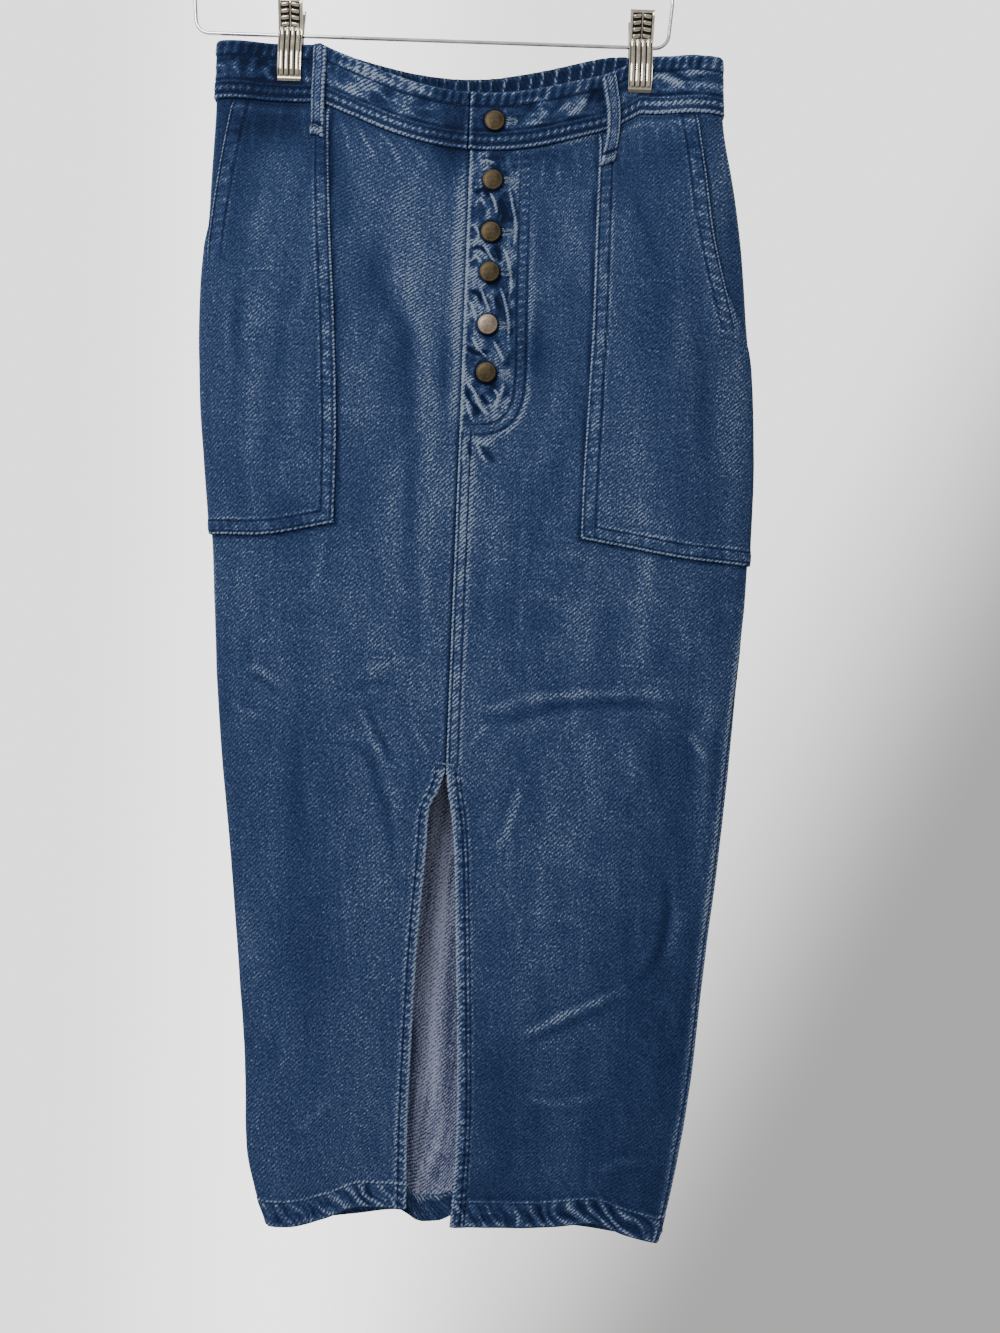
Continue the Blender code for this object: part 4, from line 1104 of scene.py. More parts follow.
def front_band(side, denim):
    run = band_rows()
    centre = angle_at(TONGUE_END if side == "left" else BAND_END, run)
    share = fractions(190, 1.25, 1.25, 1.6)
    angle, run = fan(centre, side_seam(side, run), share, run, side == "left")
    wavy = 0.35 * noise(np.degrees(angle) / 4.5, 2.5, 101) * (1 - ramp(run, 0, 9))
    relief = partial(band_relief, side)
    return shell(f"waistband_{side}", angle, run + wavy, relief, BAND_CLOTH, denim)


def elastic_band(denim):
    run = band_rows()
    angle, run = fan(*back_sides(run), back_fractions(BAND_TURN, 0.95 / 197, 1.6), run)
    x, _ = place(angle, run)
    run = run + (0.9 * gathered(x, run) - 0.5) * (1 - ramp(run, 0, 14))
    name = "waistband_elastic"
    return shell(name, angle, run, elastic_relief, BAND_CLOTH, denim, None, elastic_inside, step=1)


def pocket(side, denim):
    shape = POCKETS[side]
    wide, tall, edge = 105, 340, 15
    edges = np.array([*EDGE[:-1], *spaced(EDGE[-1], edge, 0.85)])
    middle = spaced(edge, wide - edge, 2.3)[1:-1]
    across = odd(np.sort([*edges, *middle, *(wide - edges)])) / wide
    down = odd(np.sort([*spaced(0, tall - edge, 1.8)[:-1], *(tall - edges)])) / tall
    run = POCKET_TOP + (tall - 2) * np.repeat(down[:, None], len(across), axis=1)
    last = shape["opening"]["drop"][-1]
    for _ in range(4):
        inner = angle_at(lambda drop: read(shape["inner"], drop, "x"), run)
        slant = angle_at(lambda drop: read(shape["opening"], drop, "x"), run)
        meet = ramp(run, last - 30, shape["opening_end"])
        outer = slant + (side_seam(side, run) - slant) * meet
        angle = outer + (inner - outer) * across
        foot = read(shape["foot"], place(angle, run)[0], "drop")
        run = POCKET_TOP + (foot - POCKET_TOP) * down[:, None]
    if side == "right":
        angle, run = angle[:, ::-1], run[:, ::-1]
    relief = partial(pocket_relief, side)
    return shell(f"patch_pocket_{side}", angle, run, relief, POCKET_CLOTH, denim)


def underlay(denim):
    """The strip behind the fly, which narrows to a backing of the centre seam."""
    run = odd(spaced(47, SLIT_TOP - 8, 3.0))
    narrow = ramp(run, FLY_END - 16, FLY_END + 6)
    left, right = (
        angle_at(low, run) * narrow + angle_at(high, run) * (1 - narrow)
        for low, high in zip(BACKING_XS, UNDERLAY_XS)
    )
    angle, run = fan(left, right, odd(spaced(0, 1, 1 / 20)), run)
    return shell("fly_facing", angle, run, underlay_relief, UNDERLAY_CLOTH, denim)


def belt_loop(loop, denim):
    along = odd(spaced(0, 1, 1 / 74))
    run = loop.top + (loop.foot - loop.top) * along
    middle = loop_middle(loop, along)
    across = np.array([-0.5, -0.485, -0.46, -0.42, *np.linspace(-0.37, 0.37, 13)])
    across = np.concatenate([across, -across[3::-1]])
    angle = np.stack([angle_at(middle + part * LOOP_WIDTH, run) for part in across], axis=1)
    run = np.repeat(run[:, None], len(across), axis=1)
    fold_start = loop.foot - LOOP_FOLD
    thick = LOOP_CLOTH * np.interp(run, [loop.top, fold_start, loop.foot], [1, 1, 2])
    return shell(f"loop_{loop.side}", angle, run, partial(loop_relief, loop), thick, denim)


# ---------------------------------------------------------------- stitches


# The rings of a stitch: each one's share of its length and of its radius, and how far it
# lies above the cloth, as a share of how deep its ends sink in.
STITCH_RINGS = ((0, 0, -1), (0.14, 0.8, -0.2), (0.5, 1, 0.3), (0.86, 0.8, -0.2), (1, 0, -1))
STITCH_SUNK = 0.25


def capsules(starts, ends, ups, radius, sides=5):
    """Threads that rise out of the cloth at one end and go back in at the other."""
    along = ends - starts
    length = np.linalg.norm(along, axis=1)[:, None]
    along = along / length
    aside = np.cross(along, ups)
    aside = aside / np.linalg.norm(aside, axis=1)[:, None]
    up = np.cross(aside, along)
    points = []
    for share, size, lift in STITCH_RINGS:
        middle = starts + along * length * share + up * lift * STITCH_SUNK * MM
        for k in range(sides if size else 1):
            a = 2 * math.pi * k / sides
            points.append(middle + MM * radius * size * (math.cos(a) * up + math.sin(a) * aside))
    each = len(points)
    faces = []
    for k in range(sides):
        n = (k + 1) % sides
        faces.append((0, 1 + k, 1 + n))
        for low in (1, 1 + sides):
            faces.append((low + k, low + sides + k, low + sides + n, low + n))
        faces.append((each - 1, 1 + 2 * sides + n, 1 + 2 * sides + k))
    return np.stack(points, axis=1).reshape(-1, 3), faces, each


def follow(values, along, at):
    """Rows of values read at distances along a path."""
    return np.stack([np.interp(at, along, column) for column in values.T], axis=1)


class Thread:
    """Collects the stitches of one object."""

    def __init__(self):
        self.parts = []

    def row(self, angle, run, relief, pitch=3.1, length=2.35):
        """A row of stitches along a path of places on a piece's relief."""
        points = tube(angle, run, relief(angle, run)[0] + 0.12)
        steps = np.linalg.norm(np.diff(points, axis=0), axis=1)
        at = np.concatenate([[0], np.cumsum(steps)]) / MM
        first = np.arange(pitch * 0.3, at[-1] - length, pitch)
        ends = [follow(points, at, first + more) for more in (0, length)]
        self.parts.append((*ends, follow(normals(angle, run), at, first)))

    def level(self, start, end, run, count, relief, **how):
        """A row round the tube at one run, from one angle to another."""
        self.row(np.linspace(start, end, count), np.full(count, run), relief, **how)

    def path(self, points, relief, **how):
        """A row along a path of (x, drop) points on the front."""
        dense = curve(points, 40)
        self.row(*on_front(dense[:, 0], dense[:, 1]), relief, **how)

    def make(self, name, material, radius):
        starts, ends, ups = (np.concatenate(part) for part in zip(*self.parts))
        points, faces, each = capsules(starts, ends, ups, radius)
        every = np.arange(len(starts)) * each
        joined = []
        for face in faces:
            joined.extend((np.array(face)[None, :] + every[:, None]).tolist())
        obj = new_object(name, points, joined, [material])
        give_wear_and_shade(obj, np.repeat(np.random.default_rng(7).uniform(0.25, 0.75, len(starts)), each))
        return obj


def edge_path(rows, name, gap, start, end, steps=40):
    """A path beside an edge whose x is tabled by its drop."""
    drop = np.linspace(start, end, steps)
    return np.stack([read(rows, drop, name) + gap, drop], axis=1)


def stitch_panels(thread):
    right = partial(front_relief, "right")
    thread.path(FLY_CURVE, right)
    thread.path(offset(FLY_CURVE, FLY_ROW_GAP)[::3], right)
    for gap in SEAM_ROWS:
        path = edge_path(CENTRE_FRONT, "right", gap, FLY_END + 4, SLIT_TOP - 6, 60)
        thread.path(path, right)
    for side, end in (("left", 886), ("right", 896)):
        for gap in SLIT_EDGES[side].rows:
            path = edge_path(CENTRE_FRONT, side, -INWARD[side] * gap, SLIT_TOP + 8, end, 80)
            thread.path(path, partial(front_relief, side))
    run = HEM_RUN - HEM_ROW
    size = {"pitch": 3.4, "length": 2.5}
    for side in SIDES:
        centre = angle_at(lambda drop, side=side: read(CENTRE_FRONT, drop, side), run)
        relief = partial(front_relief, side)
        thread.level(centre, side_seam(side, run), run, 600, relief, **size)
    thread.level(*back_sides(run), run, 900, back_relief, **size)


def stitch_bands(thread):
    for side, start in (("left", -3.0), ("right", 5.0)):
        relief = partial(band_relief, side)
        for run in BAND_ROWS:
            ends = (angle_at(start, run), side_seam(side, run))
            thread.level(*ends, run, 700, relief, pitch=2.9, length=2.2)
    for run in ELASTIC_ROWS:
        thread.level(*back_sides(run), run, 1400, elastic_relief, pitch=3.2, length=2.3)


def stitch_pockets(thread):
    for side, start in (("left", 50), ("right", 52)):
        shape = POCKETS[side]
        sign = INWARD[side]
        relief = partial(pocket_relief, side)
        feet = shape["foot"]["x"]
        corner = -1 if side == "left" else 0
        end = shape["foot"]["drop"][corner]
        for gap in POCKET_ROWS:
            thread.path(edge_path(shape["inner"], "x", -sign * gap, 86, end - gap), relief)
            x = np.linspace(feet[0], feet[-1], 30)
            x = x[sign * (feet[corner] - x) > gap]
            path = np.stack([x, read(shape["foot"], x, "drop") - gap], axis=1)
            thread.path(path[:-1] if side == "right" else path[1:], relief)
        last = shape["opening"]["drop"][-1]
        for gap in OPENING_ROWS:
            thread.path(edge_path(shape["opening"], "x", sign * gap, start, last), relief)


def stitch_loops(thread):
    for loop in LOOPS:
        relief = partial(loop_relief, loop)
        along = np.linspace(0.02, 0.85, 200)
        tall = loop.foot - loop.top
        run = loop.top + tall * along
        for aside in (-0.26, 0.26):
            angle = angle_at(loop_middle(loop, along) + aside * LOOP_WIDTH, run)
            thread.row(angle, run, relief, pitch=2.6, length=1.9)
        x = np.linspace(-0.42, 0.42, 20) * LOOP_WIDTH + loop.x + loop.bow * 0.3
        for step in (0, 0.8):
            run = np.full(20, loop.top + tall * 0.915 + step)
            thread.row(angle_at(x, run), run, relief, pitch=1.5, length=1.4)


HOLE_THREADS = 60


def buttonholes(thread):
    """Pale thread round each buttonhole, on the side of the button where it shows."""
    rng = np.random.default_rng(5)
    for number, drop in enumerate(BUTTON_DROPS):
        relief = partial(front_relief if number else band_relief, "right")
        for k in range(HOLE_THREADS):
            row = (-2.2, -1.1, 1.1, 2.2, 0.0)[k % 5]
            start = np.array([rng.uniform(8.2, 15.5), row + rng.normal(0, 0.35)])
            if k % 5 == 4:
                start[0] = rng.uniform(15.5, 17.5)
                out = np.array([rng.normal(0, 0.5), rng.uniform(1.0, 2.0)])
                start[1] = start[1] - 1.0
            else:
                out = np.array([rng.uniform(1.4, 3.0), rng.normal(0, 0.35)])
            ends = np.array([start, start + out]) + [BUTTON_X, drop + 0.4]
            angle, run = on_front(ends[:, 0], ends[:, 1])
            points = tube(angle, run, relief(angle, run)[0] + 0.2)
            thread.parts.append((points[:1], points[1:], normals(angle, run)[:1]))


def bar_tack(thread):
    """The thick bar that closes the top of the slit."""
    x = np.linspace(-8.2, 7.2, 30)
    angle, run = on_front(x, SLIT_TOP - 3.4 + 0.13 * (x + 8))
    for shift in (-0.5, 0.0, 0.5):
        height, _ = front_relief("right", angle, run + shift)
        points = tube(angle, run + shift, np.maximum(height, height.max() * 0.6) + 0.3)
        ups = normals(angle, run)
        thread.parts.append((points[0:27:3], points[3:30:3], ups[0:27:3]))


# ---------------------------------------------------------------- metal


def lathe(name, profile, sides, material):
    """A solid turned about Z from (radius, height) pairs that start and end on it."""
    rings = profile[1:-1]
    turns = [2 * math.pi * k / sides for k in range(sides)]
    points = [(r * math.cos(a), r * math.sin(a), height) for r, height in rings for a in turns]
    points = [(0, 0, profile[0][1]), *points, (0, 0, profile[-1][1])]
    last = len(points) - 1
    top = last - sides
    faces = []
    for k in range(sides):
        n = (k + 1) % sides
        faces.append((0, 1 + n, 1 + k))
        for low in range(1, top, sides):
            faces.append((low + k, low + n, low + sides + n, low + sides + k))
        faces.append((top + k, top + n, last))
    return new_object(name, MM * np.array(points, float), faces, [material])


# The button's (radius, height) pairs: a shank, a rim with its groove, and a domed face.
BUTTON_PROFILE = (
    (0, 0), (2.9, 0), (2.9, 1.3), (5, 1.25), (7.3, 1.35), (7.65, 1.7), (7.75, 2.1), (7.65, 2.5),
    (7.35, 2.8), (6.9, 2.92), (6.5, 2.86), (6.1, 2.94), (5, 3.16), (3.5, 3.3), (1.5, 3.38),
    (0, 3.4),
)


def button(number, material):
    low, high = (Vector(corner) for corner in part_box(f"button_{number}"))
    obj = lathe(f"jean_button_{number}", BUTTON_PROFILE, 56, material)
    middle = (low + high) / 2
    x, drop = (middle.x - CENTRE_X_M) / MM, (WAIST_Z_M - middle.z) / MM
    out = normals(*on_front(x, drop))
    obj.location = (middle.x, low.y + BUTTON_PROFILE[-1][1] * MM, middle.z)
    obj.rotation_euler = (math.pi / 2, 0, math.atan2(out[0], -out[1]))
    return obj


def wire(name, path, radius, material, closed=False, sides=20):
    """A round wire along a path of (x, y, z) points, in metres."""
    path = np.array(path, float)
    if closed:
        ahead = np.roll(path, -1, axis=0) - np.roll(path, 1, axis=0)
    else:
        ahead = np.gradient(path, axis=0)
    ahead = ahead / np.linalg.norm(ahead, axis=1)[:, None]
    level = np.abs(ahead[:, 1]).max() < 0.5
    first = np.cross(ahead, (0.0, 1.0, 0.0) if level else (1.0, 0.0, 0.0))
    first = first / np.linalg.norm(first, axis=1)[:, None]
    second = np.cross(ahead, first)
    turns = 2 * math.pi * np.arange(sides)[None, :, None] / sides
    outward = np.cos(turns) * first[:, None, :] + np.sin(turns) * second[:, None, :]
    points = (path[:, None, :] + radius * outward).reshape(-1, 3)
    at = np.arange(len(points)).reshape(-1, sides)
    at = np.vstack([at, at[:1]]) if closed else at
    faces = []
    for here, ahead_at in zip(at[:-1].tolist(), at[1:].tolist()):
        for k in range(sides):
            n = (k + 1) % sides
            faces.append([here[k], ahead_at[k], ahead_at[n], here[n]])
    if not closed:
        faces.extend([at[0].tolist(), at[-1, ::-1].tolist()])
    return new_object(name, points, faces, [material])


# The hanger's wire, and the ferrule where its ends meet, as (radius, height) pairs.
WIRE_RADIUS_M = 0.0014
BAR_HALF_M = 0.1836
BAR_CORNER_M = 0.011
SIDE_TOP_Z_M = -0.112
SIDE_LEAN_M = 0.004
SHOULDER_CORNER_M = 0.016
APEX_Z_M = -0.074
APEX_HALF_M = 0.008
APEX_CORNER_M = 0.010
HOOK_RADIUS_M = 0.022
HOOK_TIP_DEGREES = -28
HOOK_BACK_DEGREES = 235
HOOK_NECK_M = 0.016
FERRULE_GAP = 0.3
FERRULE = (
    (0, 0), (3.3, 0), (3.9, 0.4), (4.2, 1), (4.2, 2.6), (3.9, 3.3), (2.4, 4.7), (1.6, 5.2),
    (0, 5.2),
)


def rounded(corners, steps):
    """A closed outline in the XZ plane from (x, z, corner radius) corners."""
    points = []
    for i, (x, z, radius) in enumerate(corners):
        here = np.array([x, z])
        before = np.array(corners[i - 1][:2]) - here
        after = np.array(corners[(i + 1) % len(corners)][:2]) - here
        before /= np.linalg.norm(before)
        after /= np.linalg.norm(after)
        half = math.acos(float(np.clip(before @ after, -1, 1))) / 2
        reach = radius / math.tan(half)
        middle = before + after
        centre = here + middle / np.linalg.norm(middle) * radius / math.sin(half)
        first = here + before * reach - centre
        last = here + after * reach - centre
        start = math.atan2(first[1], first[0])
        sweep = math.atan2(last[1], last[0]) - start
        sweep = (sweep + math.pi) % (2 * math.pi) - math.pi
        for a in start + sweep * np.linspace(0, 1, steps):
            points.append((centre[0] + radius * math.cos(a), 0, centre[1] + radius * math.sin(a)))
    return points


def hanger(chrome):
    right_half = (
        (BAR_HALF_M, BAR_Z_M, BAR_CORNER_M),
        (BAR_HALF_M + SIDE_LEAN_M, SIDE_TOP_Z_M, SHOULDER_CORNER_M),
        (APEX_HALF_M, APEX_Z_M, APEX_CORNER_M),
    )
    corners = [*right_half, *((-x, z, radius) for x, z, radius in right_half[::-1])]
    frame = wire("wire_frame", rounded(corners, 12), WIRE_RADIUS_M, chrome, closed=True)
    reach = HOOK_RADIUS_M + WIRE_RADIUS_M
    turns = np.radians(np.linspace(HOOK_TIP_DEGREES, HOOK_BACK_DEGREES, 54))
    hook = [(reach * math.cos(a), 0, reach * math.sin(a) - HOOK_RADIUS_M) for a in turns]
    end_x, _, end_z = hook[-1]
    neck_z = APEX_Z_M + HOOK_NECK_M
    for t in np.linspace(0.1, 1, 12):
        hook.append((end_x * (1 - float(ramp(t, 0, 1))), 0, end_z + (neck_z - end_z) * t))
    foot_z = APEX_Z_M + WIRE_RADIUS_M + FERRULE_GAP * MM
    hook.append((0, 0, foot_z + (FERRULE[-1][1] + FERRULE_GAP) * MM))
    hook_wire = wire("wire_hook", hook, WIRE_RADIUS_M, chrome)
    ferrule = lathe("wire_ferrule", FERRULE, 40, chrome)
    ferrule.location = (0, 0, foot_z)
    return {"hanger_frame": frame, "hanger_hook": hook_wire, "hanger_ferrule": ferrule}


# The clip's jaw from the side: height from the bar, the face's distance from the
# middle plane and the depth of its side flanges.
JAW = table(
    "height out flange",
    (-36.9, 4.7, 1.2), (-34, 4.4, 1.15), (-28, 5.8, 2.2), (-17, 6.4, 2.6), (-7, 5.3, 2.1),
    (0, 4.5, 2.6), (6, 5.6, 3), (14, 8.2, 3.2), (23, 10.4, 2.4), (24.6, 10.2, 1.4),
)
RIB_PITCH = 4.1
RUNG_HEIGHTS = (6.8, 11.2, 15.6, 20.0)
JAW_SHEET = 0.95
COIL_RADIUS = 2.55
COIL_HALF = 6.0
COIL_TURNS = 7
COIL_WIRE = 0.62


def jaw_face(aside, height):
    """The pressed pattern of a jaw's face: four ribs below, two columns of rungs above."""
    rib_top = 3.0 - 0.8 * np.cos(2 * math.pi * aside / RIB_PITCH)
    ribbed = window(height, -32.6, rib_top, 0.9) * window(aside, -8.3, 8.3, 0.4)
    rib = np.abs(np.sin(math.pi * aside / RIB_PITCH)) ** 0.6
    relief = 0.85 * rib * ribbed
    rung_zone = window(height, 4.6, 22.0, 0.5) * window(np.abs(aside), 0.4, 7.4, 0.4)
    dirt = ribbed * (1 - rib) + rung_zone + 0.45 * (1 - ramp(height, -34.6, -33.2))
    for centre in RUNG_HEIGHTS:
        for column_x in (-3.9, 3.9):
            flat = 1 - (np.abs(aside - column_x) / 3.3) ** 4
            tall = 1 - ((height - centre + 0.12 * np.abs(aside)) / 1.45) ** 2
            domed = np.sqrt(np.clip(flat, 0, 1) * np.clip(tall, 0, 1))
            relief += 1.15 * domed
            dirt -= 1.3 * rung_zone * domed
    border = window(np.abs(aside), 8.2, 9.1, 0.3) * window(height, -33, 23, 0.8)
    relief += 0.35 * border + 0.35 * window(height, 22.8, 24.0, 0.4)
    return relief, 1 - 1.3 * np.clip(dirt, 0, 1)


def jaw(name, clip_x, facing, material):
    """One jaw of a clip: a pressed sheet with flanges that turn in at its sides."""
    half = CLIP_WIDTH / 2
    corner = np.array([0.0, 0.12, 0.3])
    asides = [*(corner - half), *spaced(0.55 - half, half - 0.55, 0.4), *(half - corner[::-1])]
    turned = np.zeros(len(asides))
    turned[:3] = (1.0, 0.5, 0.12)
    turned[-3:] = turned[2::-1]
    heights = odd(spaced(JAW["height"][0], JAW["height"][-1], 0.42))
    height, aside = np.meshgrid(heights, odd(asides), indexing="ij")
    turned = np.broadcast_to(odd(turned), height.shape)
    out = read(JAW, height, "out")
    flange = read(JAW, height, "flange")
    relief, clean = jaw_face(aside, height)
    relief = np.where(turned > 0, 0.0, relief - 0.75) - turned * flange
    outer = np.stack([aside, facing * (out + relief), height], axis=-1)
    thick = np.where(turned > 0.9, flange, JAW_SHEET) + 0.05
    inside = np.clip(aside, 0.8 - half, half - 0.8)
    inner = np.stack([inside, facing * (out - thick), height], axis=-1)[::2, ::2]
    points, faces = closed_shell(outer, inner, 2)
    if facing < 0:
        faces = [face[::-1] for face in faces]
    points = MM * points + (MM * clip_x + CENTRE_X_M, 0, BAR_Z_M)
    obj = new_object(name, points, faces, [material])
    give_wear_and_shade(obj, np.concatenate([clean.ravel(), np.full(inner[..., 0].size, 0.5)]))
    return obj


def spring(name, clip_x, material):
    """The coil round the bar."""
    share = np.linspace(-1, 1, 130)
    a = math.pi * COIL_TURNS * (share + 1)
    coil = np.stack([clip_x + COIL_HALF * share, COIL_RADIUS * np.cos(a), COIL_RADIUS * np.sin(a)], axis=1)
    path = MM * coil + (CENTRE_X_M, 0, BAR_Z_M)
    obj = wire(name, path, COIL_WIRE * MM, material, sides=10)
    give_wear_and_shade(obj, np.ones(len(obj.data.vertices)))
    return obj


# ---------------------------------------------------------------- materials


class Tree:
    """The nodes of a material or a world, added by short calls."""

    def __init__(self, owner, shader="Principled BSDF"):
        self.owner = owner
        owner.use_nodes = True
        self.tree = owner.node_tree
        self.shader = self.tree.nodes[shader]

    def add(self, kind, inputs=(), **settings):
        node = self.tree.nodes.new(kind)
        for key, value in settings.items():
            setattr(node, key, value)
        for key, value in dict(inputs).items():
            self.put(node.inputs[key], value)
        return node

    def put(self, socket, value):
        if isinstance(value, bpy.types.NodeSocket):
            self.tree.links.new(value, socket)
        else:
            socket.default_value = value

    def math(self, operation, *values):
        return self.add("ShaderNodeMath", enumerate(values), operation=operation).outputs[0]

    def noise(self, vector, scale, detail=2.0, rough=0.5):
        inputs = {"Vector": vector, "Scale": scale, "Detail": detail, "Roughness": rough}
        return self.add("ShaderNodeTexNoise", inputs).outputs["Fac"]

    def stretched(self, vector, scale, turn=0.0):
        inputs = {"Vector": vector, "Angle": turn}
        turned = self.add("ShaderNodeVectorRotate", inputs, rotation_type="Z_AXIS").outputs[0]
        return self.add("ShaderNodeMapping", {"Vector": turned, "Scale": scale}).outputs[0]

    def weighted(self, start, *parts):
        """start plus each part's (value - 0.5) times its weight."""
        total = start
        for value, weight in parts:
            total = self.math("MULTIPLY_ADD", self.math("SUBTRACT", value, 0.5), weight, total)
        return total

    def colours(self, value, *stops):
        """A colour ramp from (position, red, green, blue) stops."""
        node = self.add("ShaderNodeValToRGB", {"Fac": value})
        elements = node.color_ramp.elements
        while len(elements) < len(stops):
            elements.new(0.5)
        for element, (at, *colour) in zip(elements, stops):
            element.position = at
            element.color = (*colour, 1)
        return node.outputs["Color"]

    def between(self, value, start, end, first, last):
        """A soft step from first to last as value goes from start to end."""
        inputs = {"Value": value, "From Min": start, "From Max": end, "To Min": first, "To Max": last}
        node = self.add("ShaderNodeMapRange", inputs, interpolation_type="SMOOTHSTEP")
        return node.outputs["Result"]

    def mix(self, share, first, second):
        node = self.add("ShaderNodeMix", {0: share, 6: first, 7: second}, data_type="RGBA")
        return node.outputs[2]

    def bump(self, strength, distance, height):
        inputs = {"Strength": strength, "Distance": distance, "Height": height}
        return self.add("ShaderNodeBump", inputs).outputs["Normal"]

    # Reads the tone attribute: wear, with painted shade and painted highlights.
    def wear_and_shade(self):
        return self.add("ShaderNodeAttribute", attribute_name="wear_and_shade").outputs["Fac"]

    def place(self):
        return self.add("ShaderNodeTexCoord").outputs["Object"]

    def finish(self, **values):
        for key, value in values.items():
            self.put(self.shader.inputs[key.replace("_", " ")], value)
        return self.owner


DENIM_STOPS = (
    (0.0, 0.0022, 0.0065, 0.027),
    (0.25, 0.0070, 0.0180, 0.059),
    (0.5, 0.0164, 0.0338, 0.091),
    (0.75, 0.044, 0.072, 0.147),
    (0.86, 0.088, 0.124, 0.205),
    (1.0, 0.22, 0.27, 0.35),
)
WRONG_SIDE_STOPS = (
    (0.1, 0.024, 0.034, 0.090),
    (0.5, 0.120, 0.142, 0.245),
    (0.9, 0.370, 0.400, 0.540),
)
TONAL_STOPS = ((0.1, 0.003, 0.007, 0.022), (0.5, 0.010, 0.020, 0.052), (0.9, 0.05, 0.075, 0.13))
FRAYED_STOPS = ((0.1, 0.04, 0.07, 0.14), (0.5, 0.13, 0.175, 0.25), (0.9, 0.34, 0.39, 0.46))
FLOOR_STOPS = ((0.3, 0.66, 0.66, 0.67), (0.7, 0.72, 0.72, 0.73))
TWILL_PITCH_M = 0.0024
TWILL_LEAN = math.radians(48)


def weave(tree, lean):
    """The twill's parts: streaks along it, its lines, fine grain and wide mottling."""
    cloth = tree.add("ShaderNodeUVMap", uv_map="weave").outputs["UV"]

    def cells(across, down, detail, rough=0.5, turn=0.0):
        stretched = tree.stretched(cloth, (1 / across, 1 / down, 1), turn)
        return tree.noise(stretched, 1.0, detail, rough)

    turned = tree.stretched(cloth, (2 * math.pi / TWILL_PITCH_M, 1, 1), lean)
    across = tree.add("ShaderNodeSeparateXYZ", {0: turned}).outputs["X"]
    wobble = tree.noise(cloth, 240.0, 1.0)
    lines = tree.math("SINE", tree.math("MULTIPLY_ADD", wobble, 5.0, across))
    streak = cells(0.0013, 0.0034, 2.0, 0.6, lean)
    grain = cells(0.0011, 0.0018, 1.0)
    mottle = cells(0.006, 0.010, 3.0, 0.6)
    patch = cells(0.045, 0.090, 2.0)
    warp = cells(0.0045, 0.090, 2.0)
    return streak, tree.math("MULTIPLY_ADD", lines, 0.5, 0.5), grain, mottle, patch, warp


def denim(name, shade):
    """Washed twill: pale where it is worn and where a highlight is painted, dark where
    shade is painted, with white threads between blue ones.
    """
    tree = Tree(bpy.data.materials.new(name))
    wear_and_shade = tree.wear_and_shade()
    streak, lines, grain, mottle, patch, warp = weave(tree, -TWILL_LEAN)
    line_depth = tree.between(wear_and_shade, 0.50, 0.80, 0.28, 0.74)
    lined = tree.math("MULTIPLY", tree.math("SUBTRACT", lines, 0.5), line_depth)
    thread = tree.weighted(lined, (streak, 1.1), (grain, 1.35))
    contrast = tree.math("MULTIPLY", thread, tree.math("MULTIPLY_ADD", wear_and_shade, 0.7, 0.5))
    tone = tree.math("ADD", wear_and_shade, shade)
    tone = tree.weighted(tone, (mottle, 0.16), (patch, 0.14), (warp, 0.14))
    height = tree.weighted(0.5, (streak, 0.6), (lines, 0.4), (grain, 0.3))
    return tree.finish(
        Base_Color=tree.colours(tree.math("ADD", tone, contrast), *DENIM_STOPS),
        Roughness=0.86,
        Specular_IOR_Level=0.12,
        Sheen_Weight=0.04,
        Sheen_Roughness=0.5,
        Sheen_Tint=(0.40, 0.60, 0.95, 1),
        Normal=tree.bump(0.55, 0.0003, height),
    )


def wrong_side(name):
    """The inside of the twill, mostly white weft with blue specks, lighter where light is
    painted and darker where shade is painted.
    """
    tree = Tree(bpy.data.materials.new(name))
    streak, lines, grain, mottle, patch, warp = weave(tree, TWILL_LEAN)
    weights = (streak, 0.7), (lines, 0.5), (grain, 1.7), (mottle, 0.35), (patch, 0.3), (warp, 0.9)
    height = tree.weighted(0.5, (streak, 0.6), (lines, 0.5))
    return tree.finish(
        Base_Color=tree.colours(tree.weighted(tree.wear_and_shade(), *weights), *WRONG_SIDE_STOPS),
        Roughness=0.9,
        Specular_IOR_Level=0.2,
        Sheen_Weight=0.15,
        Normal=tree.bump(0.5, 0.0003, height),
    )


def thread_finish(name, stops):
    tree = Tree(bpy.data.materials.new(name))
    fuzz = tree.noise(tree.place(), 1400.0, 2.0)
    return tree.finish(
        Base_Color=tree.colours(tree.weighted(tree.wear_and_shade(), (fuzz, 0.5)), *stops),
        Roughness=0.8,
        Specular_IOR_Level=0.08,
        Normal=tree.bump(0.5, 0.0002, fuzz),
    )


# The metals: darkest and lightest colour, the colour of the painted dark reflection
# where it turns away from the view, roughness from polished to dull, how fine the
# stains are, and the grime in its hollows.
Metal = namedtuple("Metal", "dark light edge smooth rough scale grime")
BRASS_PAINTED_RIM = (0.012, 0.009, 0.005)
METALS = {
    "bright_chrome": Metal(
        (0.60, 0.60, 0.61), (0.85, 0.85, 0.86), (0.03, 0.03, 0.032), 0.04, 0.12, 60, None
    ),
    "bright_nickel": Metal(
        (0.34, 0.31, 0.25), (0.62, 0.57, 0.47), (0.10, 0.085, 0.06), 0.08, 0.22, 120, (0.022, 0.017, 0.012)
    ),
    "antique_brass": Metal(
        (0.030, 0.023, 0.013), (0.080, 0.062, 0.038), BRASS_PAINTED_RIM, 0.34, 0.5, 180, None
    ),
    "worn_brass": Metal(
        (0.12, 0.095, 0.072), (0.25, 0.20, 0.155), BRASS_PAINTED_RIM, 0.3, 0.46, 180, None
    ),
}


